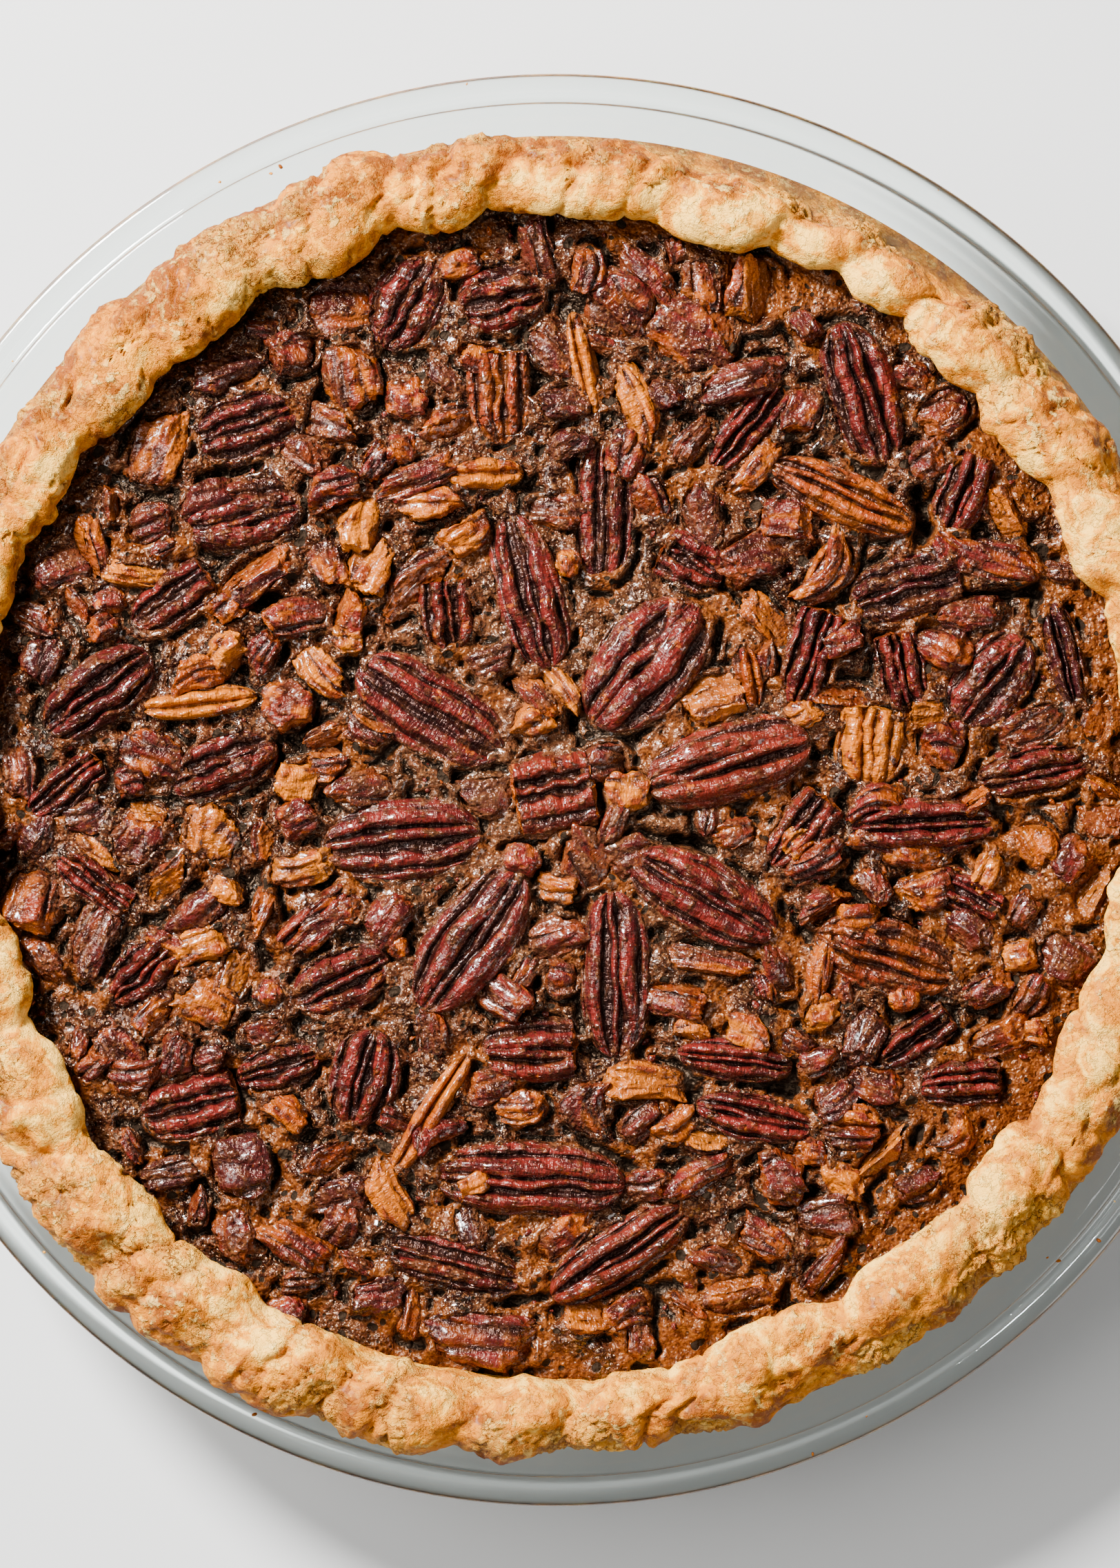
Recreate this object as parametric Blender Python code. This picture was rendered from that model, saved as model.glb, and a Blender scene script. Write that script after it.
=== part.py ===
"""A pecan pie in its own clear glass pie dish, modelled at its real size.

Metres, +Z up. The origin is the centre of the dish's foot, on the table. The
pie is whole: a pastry case lines the dish and ends in a hand-twisted rope, the
filling fills the case, and the pecans lie in shallow beds in the filling.
Sizes below are in millimetres, and MM turns them into metres.
"""

import math

import bmesh
import bpy
from mathutils import Matrix, Vector

MM = 0.001
GAP = 0.3  # clearance between pieces that touch
ROUND_GAP = 0.55  # the same between round walls, whose flats cut across it

# ---- dish -------------------------------------------------------------------
DISH_RADIUS = 120.0
DISH_HEIGHT = 33.0
DISH_STEPS = 48
FOOT_RADIUS = 87.0
FLOOR_RADIUS = 84.0  # the flat floor inside
FLOOR_TOP = 4.8
FLANGE_WIDTH = 7.0
FLANGE_THICKNESS = 4.2
WALL_FOOT = (89.0, 7.2)  # inner wall, just above its corner with the floor
WALL_HEAD = (110.3, 30.1)  # inner wall, just below its bend to the flange
WALL_THICKNESS = 4.5

# ---- pastry case ------------------------------------------------------------
CASE_THICKNESS = 4.2
CASE_INNER_RADIUS = 98.6  # where the case stands upright round the filling
CASE_FOOT_RADIUS = 83.4
CASE_FLOOR_TOP = FLOOR_TOP + GAP + 3.8
ROPE_FOOT = 34.3  # underside of the rope, over the filling
ROPE_LIFT = 1.2  # of the rope's outer foot above the filling side's
ROPE_WAIST = 0.44  # height of the rope's widest line, as a share of its rise
ROPE_SHOULDER = (0.6, 0.87)  # shares of its half width and of its rise
CRIMP_STATIONS = (0.0, 0.3, 0.7)  # shares of a crimp's arc
CRIMP_SLANT = 2.0  # degrees that a crease turns from the rope's middle to its side
CREASE_INNER = 2.4  # how far a crease is pinched in at the inner side
CREASE_OUTER = 1.3
CREASE_TOP = 2.1
# Each crimp of the rope: start in degrees, inner radius, outer radius, top.
CRIMPS = (
    (4, 94.4, 109.4, 43.2),
    (17, 92.8, 109.2, 43.8),
    (30, 92.6, 109.2, 43.6),
    (42, 92.9, 110.0, 43.9),
    (52, 95.8, 106.4, 42.6),
    (60, 96.0, 108.0, 42.0),
    (67, 92.4, 106.4, 43.4),
    (79, 94.6, 109.0, 43.7),
    (94, 94.4, 109.8, 43.6),
    (105, 92.6, 110.8, 44.3),
    (119, 92.1, 110.4, 44.0),
    (132, 92.6, 110.0, 43.6),
    (142, 94.4, 109.8, 43.9),
    (153, 95.8, 110.0, 43.4),
    (163, 93.2, 109.6, 43.8),
    (175, 92.4, 110.0, 43.5),
    (190, 91.0, 110.8, 43.9),
    (203, 92.6, 111.8, 44.2),
    (215, 94.8, 113.0, 43.8),
    (227, 95.8, 113.9, 44.1),
    (239, 97.4, 115.0, 44.3),
    (250, 97.8, 113.8, 43.9),
    (262, 97.8, 112.6, 43.5),
    (271, 97.0, 111.0, 43.7),
    (281, 93.4, 110.9, 44.1),
    (297, 93.4, 110.4, 43.8),
    (312, 92.8, 109.9, 43.6),
    (325, 92.2, 109.4, 44.0),
    (341, 92.4, 109.2, 43.7),
    (352, 94.0, 109.4, 43.5),
)

# ---- filling ----------------------------------------------------------------
FILLING_EDGE = 33.7
FILLING_CROWN = 1.5  # how far the middle stands above the edge
FILLING_SWELL = 0.35  # height of its slow waves
FILLING_STEPS = 44
FILLING_RINGS = (30.0, 60.0, 86.0)

# ---- pecans -----------------------------------------------------------------
HALF_RINGS = (-0.8, -0.28, 0.28, 0.8)
BREAK_WIDTH = 0.92  # of a broken end, as a share of the widest
BED_DEPTH = 2.6  # of a pecan's bed below its widest line
# Across the nut: place from side to side, and height as a share of its dome.
HALF_SECTION = (
    (-1.0, 0.0),
    (-0.66, 0.86),
    (-0.34, 0.66),
    (0.0, 1.0),
    (0.34, 0.66),
    (0.66, 0.86),
    (1.0, 0.0),
    (0.5, -0.5),
    (-0.5, -0.5),
)
SLIVER_SECTION = (
    (-1.0, 0.0),
    (-0.4, 0.85),
    (0.4, 1.0),
    (1.0, 0.1),
    (0.4, -0.6),
    (-0.5, -0.6),
)
# Dome above the nut's widest line, and how deep that line lies in the filling.
FORMS = {
    "half": {"section": HALF_SECTION, "rings": HALF_RINGS, "dome": 4.3, "sunk": 0.1},
    "glazed": {"section": HALF_SECTION, "rings": HALF_RINGS, "dome": 4.0, "sunk": 1.1},
    "end": {
        "section": HALF_SECTION,
        "rings": (-0.8, -0.1, 1.0),
        "dome": 3.9,
        "sunk": 0.9,
    },
    "chunk": {
        "section": HALF_SECTION,
        "rings": (-1.0, 0.0, 1.0),
        "dome": 4.0,
        "sunk": 0.5,
    },
    "sliver": {
        "section": SLIVER_SECTION,
        "rings": (-0.85, 0.0, 0.85),
        "dome": 3.6,
        "sunk": 0.6,
    },
}
# Form, place (x, y), turn in degrees, length and width.
PECANS = (
    # the flower of eight halves round the middle piece
    ("half", -4.5, 33.3, 105, 27.0, 12.5),
    ("half", 15.0, 21.0, 49, 26.5, 17.5),
    ("half", 28.7, 4.6, 16, 28.5, 14.5),
    ("half", 24.5, -17.8, -28, 27.0, 13.5),
    ("half", 9.8, -30.8, 91, 28.0, 12.5),
    ("half", -14.3, -25.0, 55, 28.0, 14.5),
    ("half", -26.0, -8.5, 6, 27.0, 14.5),
    ("half", -21.0, 13.3, 149, 28.0, 15.0),
    ("chunk", -0.3, -0.6, 10, 12.5, 14.5),
    # whole halves further out
    ("half", -4.5, -65.0, -3, 32.0, 13.0),
    ("half", 10.6, -77.4, 33, 27.0, 10.5),
    ("half", 51.0, 66.0, 107, 25.0, 13.0),
    ("half", 33.0, -54.7, -12, 20.0, 9.0),
    ("half", 29.8, -45.0, -7, 19.5, 7.6),
    ("half", 47.5, 49.0, -24, 26.0, 9.5),
    ("half", -76.4, 16.2, 37, 21.5, 12.0),
    ("half", -32.0, -48.0, 76, 16.5, 12.5),
    ("half", 61.3, -6.0, 3, 24.0, 10.5),
    ("half", 55.0, -27.6, -17, 24.0, 13.0),
    # halves that lie deeper, under a skin of filling
    ("glazed", 8.0, 46.9, 88, 25.5, 12.0),
    ("glazed", -52.0, 46.0, 14, 20.0, 13.0),
    ("glazed", -52.0, 60.8, 18, 18.0, 12.5),
    ("glazed", -24.9, 81.3, 62, 17.0, 13.5),
    ("glazed", -9.2, 82.5, 14, 15.0, 12.5),
    ("glazed", 72.4, 18.2, 52, 18.5, 13.5),
    ("glazed", 79.5, 3.0, 12, 19.0, 10.0),
    ("glazed", -55.5, 4.0, 22, 19.0, 11.5),
    ("glazed", -35.8, -31.8, 25, 17.5, 11.5),
    ("glazed", -46.5, -46.3, 18, 14.5, 9.0),
    ("glazed", -17.8, -79.3, -14, 25.0, 9.5),
    ("glazed", 84.6, 23.2, 104, 18.5, 6.8),
    # halves broken off at one end
    ("end", 42.3, 21.5, 74, 16.5, 9.5),
    ("end", 57.6, 33.6, 20, 18.0, 11.5),
    ("end", 57.8, 19.3, 104, 13.0, 8.5),
    ("end", 52.5, 6.9, 82, 12.5, 12.0),
    ("end", 59.7, -41.7, 36, 13.5, 7.0),
    ("end", 67.0, -17.0, -30, 14.5, 8.0),
    ("end", 40.4, -7.4, 55, 14.0, 9.5),
    ("end", 67.8, 49.2, 66, 13.5, 8.8),
    ("end", -5.0, -43.3, 4, 15.0, 11.0),
    ("end", -9.5, 65.2, 95, 15.0, 11.0),
    ("end", -64.6, 31.4, 36, 14.5, 9.5),
    ("end", -82.2, 0.0, 40, 14.0, 7.8),
    ("end", -69.3, -30.3, 45, 14.5, 9.0),
    ("end", -77.5, -15.3, -35, 14.0, 7.0),
    ("end", 23.1, 37.9, 62, 10.0, 11.0),
    ("end", -18.2, 28.8, 92, 11.5, 10.0),
    ("end", -61.7, -53.2, 12, 16.0, 11.5),
    ("end", 66.8, -49.2, 8, 13.5, 8.8),
    ("end", 31.6, 60.2, 52, 17.5, 8.0),
    # narrow slices that show the pale flesh
    ("sliver", -59.5, 14.6, 15, 19.5, 5.5),
    ("sliver", -21.0, -54.2, 52, 24.5, 5.2),
    ("sliver", 4.5, 71.2, 94, 18.0, 4.8),
    ("sliver", -41.0, -21.6, 34, 18.5, 5.2),
    ("sliver", 44.8, 37.0, 48, 12.0, 5.0),
    ("sliver", 31.9, 18.8, -66, 11.0, 5.2),
    ("sliver", -12.0, 52.8, 14, 13.5, 6.0),
)

MATERIALS = {  # colour, roughness, metallic
    "clear_glass": ((0.93, 0.96, 0.95, 0.25), 0.04, 0.0),
    "baked_pastry": ((0.72, 0.44, 0.19, 1.0), 0.75, 0.0),
    "caramel_filling": ((0.16, 0.07, 0.03, 1.0), 0.3, 0.0),
    "pecan_skin": ((0.19, 0.05, 0.03, 1.0), 0.3, 0.0),
    "pecan_flesh": ((0.55, 0.27, 0.07, 1.0), 0.4, 0.0),
}


def clear_scene():
    for obj in list(bpy.data.objects):
        bpy.data.objects.remove(obj)


def make_materials():
    made = {}
    for name, (colour, roughness, metallic) in MATERIALS.items():
        material = bpy.data.materials.new(name)
        material.use_nodes = True
        shader = material.node_tree.nodes["Principled BSDF"]
        shader.inputs["Base Color"].default_value = colour
        shader.inputs["Roughness"].default_value = roughness
        shader.inputs["Metallic"].default_value = metallic
        made[name] = material
    made["clear_glass"].node_tree.nodes["Principled BSDF"].inputs[
        "Transmission Weight"
    ].default_value = 1.0
    return made


def add_object(name, mesh, material):
    mesh.materials.append(material)
    mesh.shade_smooth()
    mesh.set_sharp_from_angle(angle=math.radians(40))
    obj = bpy.data.objects.new(name, mesh)
    bpy.context.scene.collection.objects.link(obj)
    return obj


def polar(radius, degrees, height):
    angle = math.radians(degrees)
    return Vector((radius * math.cos(angle), radius * math.sin(angle), height)) * MM


def loft(name, loops, bottom=None, top=None):
    """A closed mesh through loops of points that all have the same count.

    An end is closed by a fan to its centre point, or by one flat face.
    """
    bm = bmesh.new()
    rows = [[bm.verts.new(point) for point in loop] for loop in loops]
    count = len(rows[0])
    for lower, upper in zip(rows, rows[1:]):
        for i in range(count):
            k = (i + 1) % count
            bm.faces.new((lower[i], lower[k], upper[k], upper[i]))
    for row, centre, turn in ((rows[0], bottom, -1), (rows[-1], top, 1)):
        if centre is None:
            bm.faces.new(row[::turn])
            continue
        hub = bm.verts.new(centre)
        for i in range(count):
            edge = (row[i], row[(i + 1) % count])
            bm.faces.new((*edge[::turn], hub))
    bmesh.ops.recalc_face_normals(bm, faces=bm.faces)
    mesh = bpy.data.meshes.new(name)
    bm.to_mesh(mesh)
    bm.free()
    return mesh


# ---- dish -------------------------------------------------------------------
def wall_normal():
    """Unit vector in the (radius, height) plane, from the inner wall outwards."""
    run = Vector(WALL_HEAD) - Vector(WALL_FOOT)
    return Vector((run.y, -run.x)).normalized()


def dish_profile():
    """The dish's outline in (radius, height), from the floor's middle round to
    the foot's middle, so that the turned body is closed at the axis."""
    out = wall_normal() * WALL_THICKNESS
    flange_inner = DISH_RADIUS - FLANGE_WIDTH
    underside = DISH_HEIGHT - FLANGE_THICKNESS
    outer_head = Vector(WALL_HEAD) + out
    outer_foot = Vector(WALL_FOOT) + out
    return (
        (FLOOR_RADIUS, FLOOR_TOP),
        WALL_FOOT,
        WALL_HEAD,
        (flange_inner, DISH_HEIGHT - 0.2),
        (DISH_RADIUS - 1.6, DISH_HEIGHT),
        (DISH_RADIUS, DISH_HEIGHT - 1.8),
        (DISH_RADIUS - 0.6, underside + 0.6),
        (DISH_RADIUS - 2.4, underside),
        (outer_head.x + 1.0, underside - 0.3),
        (outer_foot.x, outer_foot.y),
        (FOOT_RADIUS, 0.0),
    )


def make_dish(material):
    loops = [
        [polar(r, 360 * i / DISH_STEPS, z) for i in range(DISH_STEPS)]
        for r, z in dish_profile()
    ]
    mesh = loft(
        "glass_dish", loops, bottom=Vector((0, 0, FLOOR_TOP * MM)), top=Vector()
    )
    add_object("glass_dish", mesh, material)


# ---- pastry case ------------------------------------------------------------
def crimp_stations():
    """Angle, inner radius, outer radius and top of the rope at each station."""
    stations = []
    for index, (start, inner, outer, top) in enumerate(CRIMPS):
        following = CRIMPS[(index + 1) % len(CRIMPS)]
        before = CRIMPS[index - 1]
        arc = (following[0] - start) % 360
        for share in CRIMP_STATIONS:
            if share == 0.0:  # the crease itself lies between both neighbours
                stations.append(
                    (
                        start,
                        (inner + before[1]) / 2 + CREASE_INNER,
                        (outer + before[2]) / 2 - CREASE_OUTER,
                        (top + before[3]) / 2 - CREASE_TOP,
                    )
                )
            else:
                stations.append((start + arc * share, inner, outer, top))
    return stations


def case_profile(inner, outer, top):
    """One station of the case: (radius, height, slant) from the outside of its
    floor, up the glass, over the rope and down to the filling's floor."""
    middle, reach = (inner + outer) / 2, (outer - inner) / 2
    rise = top - ROPE_FOOT
    waist = ROPE_FOOT + ROPE_WAIST * rise
    shoulder_reach, shoulder = ROPE_SHOULDER[0] * reach, ROPE_FOOT + ROPE_SHOULDER[1] * rise
    foot = Vector(WALL_FOOT) - wall_normal() * ROUND_GAP
    head = Vector(WALL_HEAD) - wall_normal() * ROUND_GAP
    lean = (head.x - foot.x) / (head.y - foot.y)
    inner_foot = foot - wall_normal() * CASE_THICKNESS
    bend = inner_foot.y + (CASE_INNER_RADIUS - inner_foot.x) / lean
    return (
        (FLOOR_RADIUS - ROUND_GAP, FLOOR_TOP + GAP, 0),
        (foot.x, foot.y, 0),
        (head.x - GAP, head.y - GAP / lean, 0),
        (min(outer, head.x) - 1.0, DISH_HEIGHT + GAP, 0),
        (outer - 0.5, ROPE_FOOT + ROPE_LIFT, -1),
        (outer, waist, -1),
        (middle + shoulder_reach, shoulder, -ROPE_SHOULDER[0]),
        (middle, top, 0),
        (middle - shoulder_reach, shoulder, ROPE_SHOULDER[0]),
        (inner, waist, 1),
        (CASE_INNER_RADIUS, ROPE_FOOT + GAP, 0),
        (CASE_INNER_RADIUS, bend, 0),
        (CASE_FOOT_RADIUS, CASE_FLOOR_TOP, 0),
    )


def make_case(material):
    stations = crimp_stations()
    profiles = [case_profile(*station[1:]) for station in stations]
    loops = [
        [
            polar(profile[row][0], station[0] + CRIMP_SLANT * profile[row][2], profile[row][1])
            for station, profile in zip(stations, profiles)
        ]
        for row in range(len(profiles[0]))
    ]
    mesh = loft(
        "pastry_case",
        loops,
        bottom=Vector((0, 0, FLOOR_TOP + GAP)) * MM,
        top=Vector((0, 0, CASE_FLOOR_TOP)) * MM,
    )
    add_object("pastry_case", mesh, material)
    return profiles[0][-2][1]


# ---- filling ----------------------------------------------------------------
def filling_height(x, y):
    """Height of the filling's top: a low crown with slow waves that fade to a
    level edge."""
    share = math.hypot(x, y) / CASE_INNER_RADIUS
    crown = FILLING_CROWN * (1 - share**2)
    wave = math.sin(x / 13.0 + 0.7) * math.cos(y / 16.0 - 0.4) + math.sin((x - y) / 21.0)
    return FILLING_EDGE + crown + FILLING_SWELL * wave * (1 - share**4)


def make_filling(material, bend):
    """The filling, which fills the case from its floor up to the rope. Bend is
    the height where the case's sloping wall turns upright."""
    edge = CASE_INNER_RADIUS - ROUND_GAP
    floor = CASE_FLOOR_TOP + GAP

    def ring(radius, height=None):
        points = []
        for i in range(FILLING_STEPS):
            angle = 2 * math.pi * i / FILLING_STEPS
            x, y = radius * math.cos(angle), radius * math.sin(angle)
            z = filling_height(x, y) if height is None else height
            points.append(Vector((x, y, z)) * MM)
        return points

    loops = [
        ring(CASE_FOOT_RADIUS - ROUND_GAP, floor),
        ring(edge, bend + GAP),
        ring(edge),
        *[ring(radius) for radius in reversed(FILLING_RINGS)],
    ]
    mesh = loft(
        "pecan_filling",
        loops,
        bottom=Vector((0, 0, floor)) * MM,
        top=Vector((0, 0, filling_height(0, 0))) * MM,
    )
    return add_object("pecan_filling", mesh, material)


# ---- pecans -----------------------------------------------------------------
def swell(share):
    """Width of a pecan at a share of its half length, as a share of its widest."""
    return BREAK_WIDTH if abs(share) == 1.0 else math.sqrt(1 - abs(share) ** 2.2)


def pecan_mesh(name, form, length, width):
    """A pecan along X about its own origin, which lies on its widest line.

    Rings of the form's section run from end to end. A ring at -1 or 1 is the
    flat face of a break, and any other end closes in a rounded tip.
    """
    shape = FORMS[form]
    rings = shape["rings"]

    def ring(share):
        wide, tall = swell(share), swell(share) ** 0.7
        return [
            Vector((length / 2 * share, width / 2 * wide * s, shape["dome"] * tall * t)) * MM
            for s, t in shape["section"]
        ]

    tips = [
        None if abs(end) == 1.0 else Vector((math.copysign(length / 2, end), 0, 0)) * MM
        for end in (rings[0], rings[-1])
    ]
    return loft(name, [ring(share) for share in rings], bottom=tips[0], top=tips[1])


def bed_mesh(name, form, length, width):
    """An upright prism round a pecan's outline, clear of it by the gap."""
    half, side = length / 2 + GAP, width / 2 + GAP
    rings = FORMS[form]["rings"]
    front = [(half * share, -side * swell(share)) for share in rings]
    back = [(x, -y) for x, y in reversed(front)]
    end = [(half, 0)] if rings[-1] < 1.0 else []
    start = [(-half, 0)] if rings[0] > -1.0 else []
    outline = front + end + back + start
    loops = [[Vector((x, y, z)) * MM for x, y in outline] for z in (-BED_DEPTH, BED_DEPTH)]
    return loft(name, loops)


def place(obj, form, x, y, turn):
    obj.location = Vector((x, y, filling_height(x, y) - FORMS[form]["sunk"])) * MM
    obj.rotation_euler = (0, 0, math.radians(turn))


def make_pecans(materials):
    """The pecans, and for each a cutter that presses its bed into the filling."""
    beds = bpy.data.collections.new("pecan_beds")
    bpy.context.scene.collection.children.link(beds)
    counts = {}
    for form, x, y, turn, length, width in PECANS:
        counts[form] = counts.get(form, 0) + 1
        name = f"pecan_{form}_{counts[form]:02d}"
        skin = "pecan_flesh" if form == "sliver" else "pecan_skin"
        pecan = add_object(name, pecan_mesh(name, form, length, width), materials[skin])
        place(pecan, form, x, y, turn)
        bed = bpy.data.objects.new(f"{name}_bed", bed_mesh(f"{name}_bed", form, length, width))
        place(bed, form, x, y, turn)
        bed.hide_render = True
        bed.display_type = "WIRE"
        beds.objects.link(bed)
    return beds


def main():
    clear_scene()
    materials = make_materials()
    make_dish(materials["clear_glass"])
    bend = make_case(materials["baked_pastry"])
    filling = make_filling(materials["caramel_filling"], bend)
    press = filling.modifiers.new("beds", "BOOLEAN")
    press.operand_type = "COLLECTION"
    press.operation = "DIFFERENCE"
    press.solver = "EXACT"
    press.collection = make_pecans(materials)


main()
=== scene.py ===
import math

import bpy
import numpy as np
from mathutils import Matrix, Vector
from mathutils.bvhtree import BVHTree


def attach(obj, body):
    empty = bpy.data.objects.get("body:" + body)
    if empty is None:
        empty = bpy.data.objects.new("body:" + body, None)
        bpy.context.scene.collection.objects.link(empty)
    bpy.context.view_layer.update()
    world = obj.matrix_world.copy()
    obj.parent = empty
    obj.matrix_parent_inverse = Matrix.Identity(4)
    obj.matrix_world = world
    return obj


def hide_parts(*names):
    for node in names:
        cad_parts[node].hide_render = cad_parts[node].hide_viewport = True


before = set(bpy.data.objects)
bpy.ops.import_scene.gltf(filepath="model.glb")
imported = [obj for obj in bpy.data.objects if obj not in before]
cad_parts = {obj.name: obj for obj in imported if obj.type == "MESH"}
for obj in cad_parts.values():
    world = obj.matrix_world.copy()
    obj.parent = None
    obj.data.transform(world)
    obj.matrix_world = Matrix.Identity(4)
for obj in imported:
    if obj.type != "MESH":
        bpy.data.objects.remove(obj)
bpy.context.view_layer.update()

mm = 0.001
scene = bpy.context.scene

# noise in numpy, so that shapes and marks can share it
rng = np.random.default_rng(11)
shuffled = rng.permutation(256)
slopes = rng.normal(size=(256, 3))
slopes /= np.linalg.norm(slopes, axis=1)[:, None]


def cornerRow(cell):
    row = shuffled[cell[..., 0] & 255]
    row = shuffled[(row + cell[..., 1]) & 255]
    return shuffled[(row + cell[..., 2]) & 255]


def noiseAt(points, size, octaves=1, seed=0):
    # smooth noise of about -1 to 1 with lumps of the given size
    spot = np.asarray(points, float) / size + seed * 7.31
    total, share = 0.0, 1.0
    for _ in range(octaves):
        cell = np.floor(spot).astype(int)
        inside = spot - cell
        ease = inside**3 * (inside * (inside * 6 - 15) + 10)
        for corner in np.ndindex(2, 2, 2):
            weight = np.prod(np.where(corner, ease, 1 - ease), axis=-1)
            slope = slopes[cornerRow(cell + corner)]
            total = total + share * 1.6 * weight * np.sum(slope * (inside - corner), axis=-1)
        spot, share = spot * 2.03 + 19.7, share * 0.5
    return total


def grainsAt(points, size, seed=0):
    # how far each point is from the border between grains, 0 on the border
    spot = np.asarray(points, float) / size + seed * 5.17
    cell = np.floor(spot).astype(int)
    first = np.full(spot.shape[:-1], 9.0)
    second = first.copy()
    for step in np.ndindex(3, 3, 3):
        at = cell + np.array(step) - 1
        away = np.linalg.norm(at + 0.5 + slopes[cornerRow(at)] * 0.45 - spot, axis=-1)
        second = np.minimum(second, np.maximum(first, away))
        first = np.minimum(first, away)
    return second - first


def rise(value, low, high):
    # 0 below low, 1 above high and a smooth step between
    x = np.clip((np.asarray(value, float) - low) / (high - low), 0, 1)
    return x * x * (3 - 2 * x)


def dent(value, width):
    return np.exp(-((np.asarray(value, float) / width) ** 2))


def columns(*values):
    return np.stack(np.broadcast_arrays(*values), axis=-1).astype(float)


def unit(vector):
    return np.array(vector, float) / np.linalg.norm(vector)


class Wire:
    # a node's output, with Python's operators for values
    def __init__(self, graph, socket):
        self.graph, self.socket = graph, socket

    def maths(self, operation, other):
        return self.graph.node("ShaderNodeMath", {"operation": operation}, {0: self, 1: other})[0]

    def __add__(self, other):
        return self.maths("ADD", other)

    def __sub__(self, other):
        return self.maths("SUBTRACT", other)

    def __rsub__(self, other):
        return self * -1 + other

    def __mul__(self, other):
        return self.maths("MULTIPLY", other)

    __radd__, __rmul__ = __add__, __mul__

    def rise(self, low, high):
        # the same smooth step as above
        ends = {0: self, 1: low, 2: high, 3: 0.0, 4: 1.0}
        return self.graph.node("ShaderNodeMapRange", {"interpolation_type": "SMOOTHSTEP"}, ends)[0]


class Made:
    # a node that has been made, whose outputs are read by name or number
    def __init__(self, graph, made):
        self.graph, self.made = graph, made

    def __getitem__(self, output):
        return Wire(self.graph, self.made.outputs[output])


class Graph:
    def __init__(self, tree):
        self.tree = tree

    def node(self, kind, settings=None, inputs=None):
        made = self.tree.nodes.new(kind)
        for name, value in (settings or {}).items():
            setattr(made, name, value)
        for name, value in (inputs or {}).items():
            if isinstance(value, Wire):
                self.tree.links.new(value.socket, made.inputs[name])
            else:
                made.inputs[name].default_value = value
        return Made(self, made)

    def blend(self, factor, first, second):
        # between two colours, each a wire or three numbers as a screen shows them
        first, second = (colour(*c) if isinstance(c, tuple) else c for c in (first, second))
        return self.node("ShaderNodeMix", {"data_type": "RGBA"}, {0: factor, 6: first, 7: second})[2]

    def layers(self, body, *coats):
        # coats are masks and colours, each laid over the ones before
        for mask, tint in coats:
            body = self.blend(mask, body, tint)
        return body

    def mark(self, name, output="Fac"):
        return self.node("ShaderNodeAttribute", {"attribute_name": name})[output]

    def noise(self, place, size, detail=2.0, roughness=0.55, warp=0.0):
        return self.node("ShaderNodeTexNoise", {}, {"Vector": place, "Scale": 1 / size, "Detail": detail,
                                                    "Roughness": roughness, "Distortion": warp})["Fac"]

    def cells(self, place, size):
        return self.node("ShaderNodeTexVoronoi", {}, {"Vector": place, "Scale": 1 / size})["Distance"]

    def stretched(self, place, along, around):
        return self.node("ShaderNodeMapping", {}, {"Vector": place, "Scale": (along, around, 1.0)})[0]

    def objectPlace(self):
        # where a point is, in millimetres
        place = self.node("ShaderNodeTexCoord")["Object"]
        return self.node("ShaderNodeVectorMath", {"operation": "SCALE"}, {0: place, "Scale": 1 / mm})[0]

    def bump(self, height, depth):
        inputs = {"Height": height, "Distance": depth, "Strength": 1.0}
        return self.node("ShaderNodeBump", {}, inputs)["Normal"]

    def connect(self, links):
        # what varies over the surface, into the shader's sockets
        for name, wire in links.items():
            self.tree.links.new(wire.socket, self.shader.inputs[name])


def colour(red, green, blue):
    # a colour as a screen shows it, 0 to 255
    return tuple((part / 255 / 12.92 if part < 11 else ((part / 255 + 0.055) / 1.055) ** 2.4)
                 for part in (red, green, blue)) + (1.0,)


def newMaterial(name, sockets):
    # sockets that are the same all over are set here, the rest are linked by the caller
    material = bpy.data.materials.new(name)
    material.use_nodes = True
    material.node_tree.nodes.clear()
    graph = Graph(material.node_tree)
    shader = graph.node("ShaderNodeBsdfPrincipled", {}, sockets)
    graph.node("ShaderNodeOutputMaterial", {}, {"Surface": shader[0]})
    graph.shader = shader.made
    return material, graph


def inScene(name, data):
    made = bpy.data.objects.new(name, data)
    scene.collection.objects.link(made)
    return made


def newPiece(name, points, faces, material, lie=None, **marks):
    # points in millimetres; lie is where each point is along and around its own piece
    mesh = bpy.data.meshes.new(name)
    mesh.from_pydata((np.asarray(points) * mm).tolist(), [], [tuple(face) for face in faces])
    for mark, values in marks.items():
        values = np.broadcast_to(values, len(points)).astype(np.float32)
        mesh.attributes.new(mark, "FLOAT", "POINT").data.foreach_set("value", values)
    if lie is not None:
        values = np.asarray(lie, np.float32).ravel()
        mesh.attributes.new("lie", "FLOAT_VECTOR", "POINT").data.foreach_set("vector", values)
    mesh.materials.append(material)
    mesh.shade_smooth()
    return inScene(name, mesh)


def joinedPiece(name, bodies, material):
    # bodies are dictionaries of points, faces, lie and marks
    start, faces = 0, []
    for body in bodies:
        faces += [[corner + start for corner in face] for face in body["faces"]]
        start += len(body["points"])

    def together(key):
        # a mark may be one number for a whole body
        width = 2 if key in ("points", "lie") else 1
        return np.concatenate([np.broadcast_to(body[key], body["points"].shape[:width]) for body in bodies])
    marks = {key: together(key) for key in bodies[0] if key != "faces"}
    return newPiece(name, marks.pop("points"), faces, material, **marks)


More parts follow.
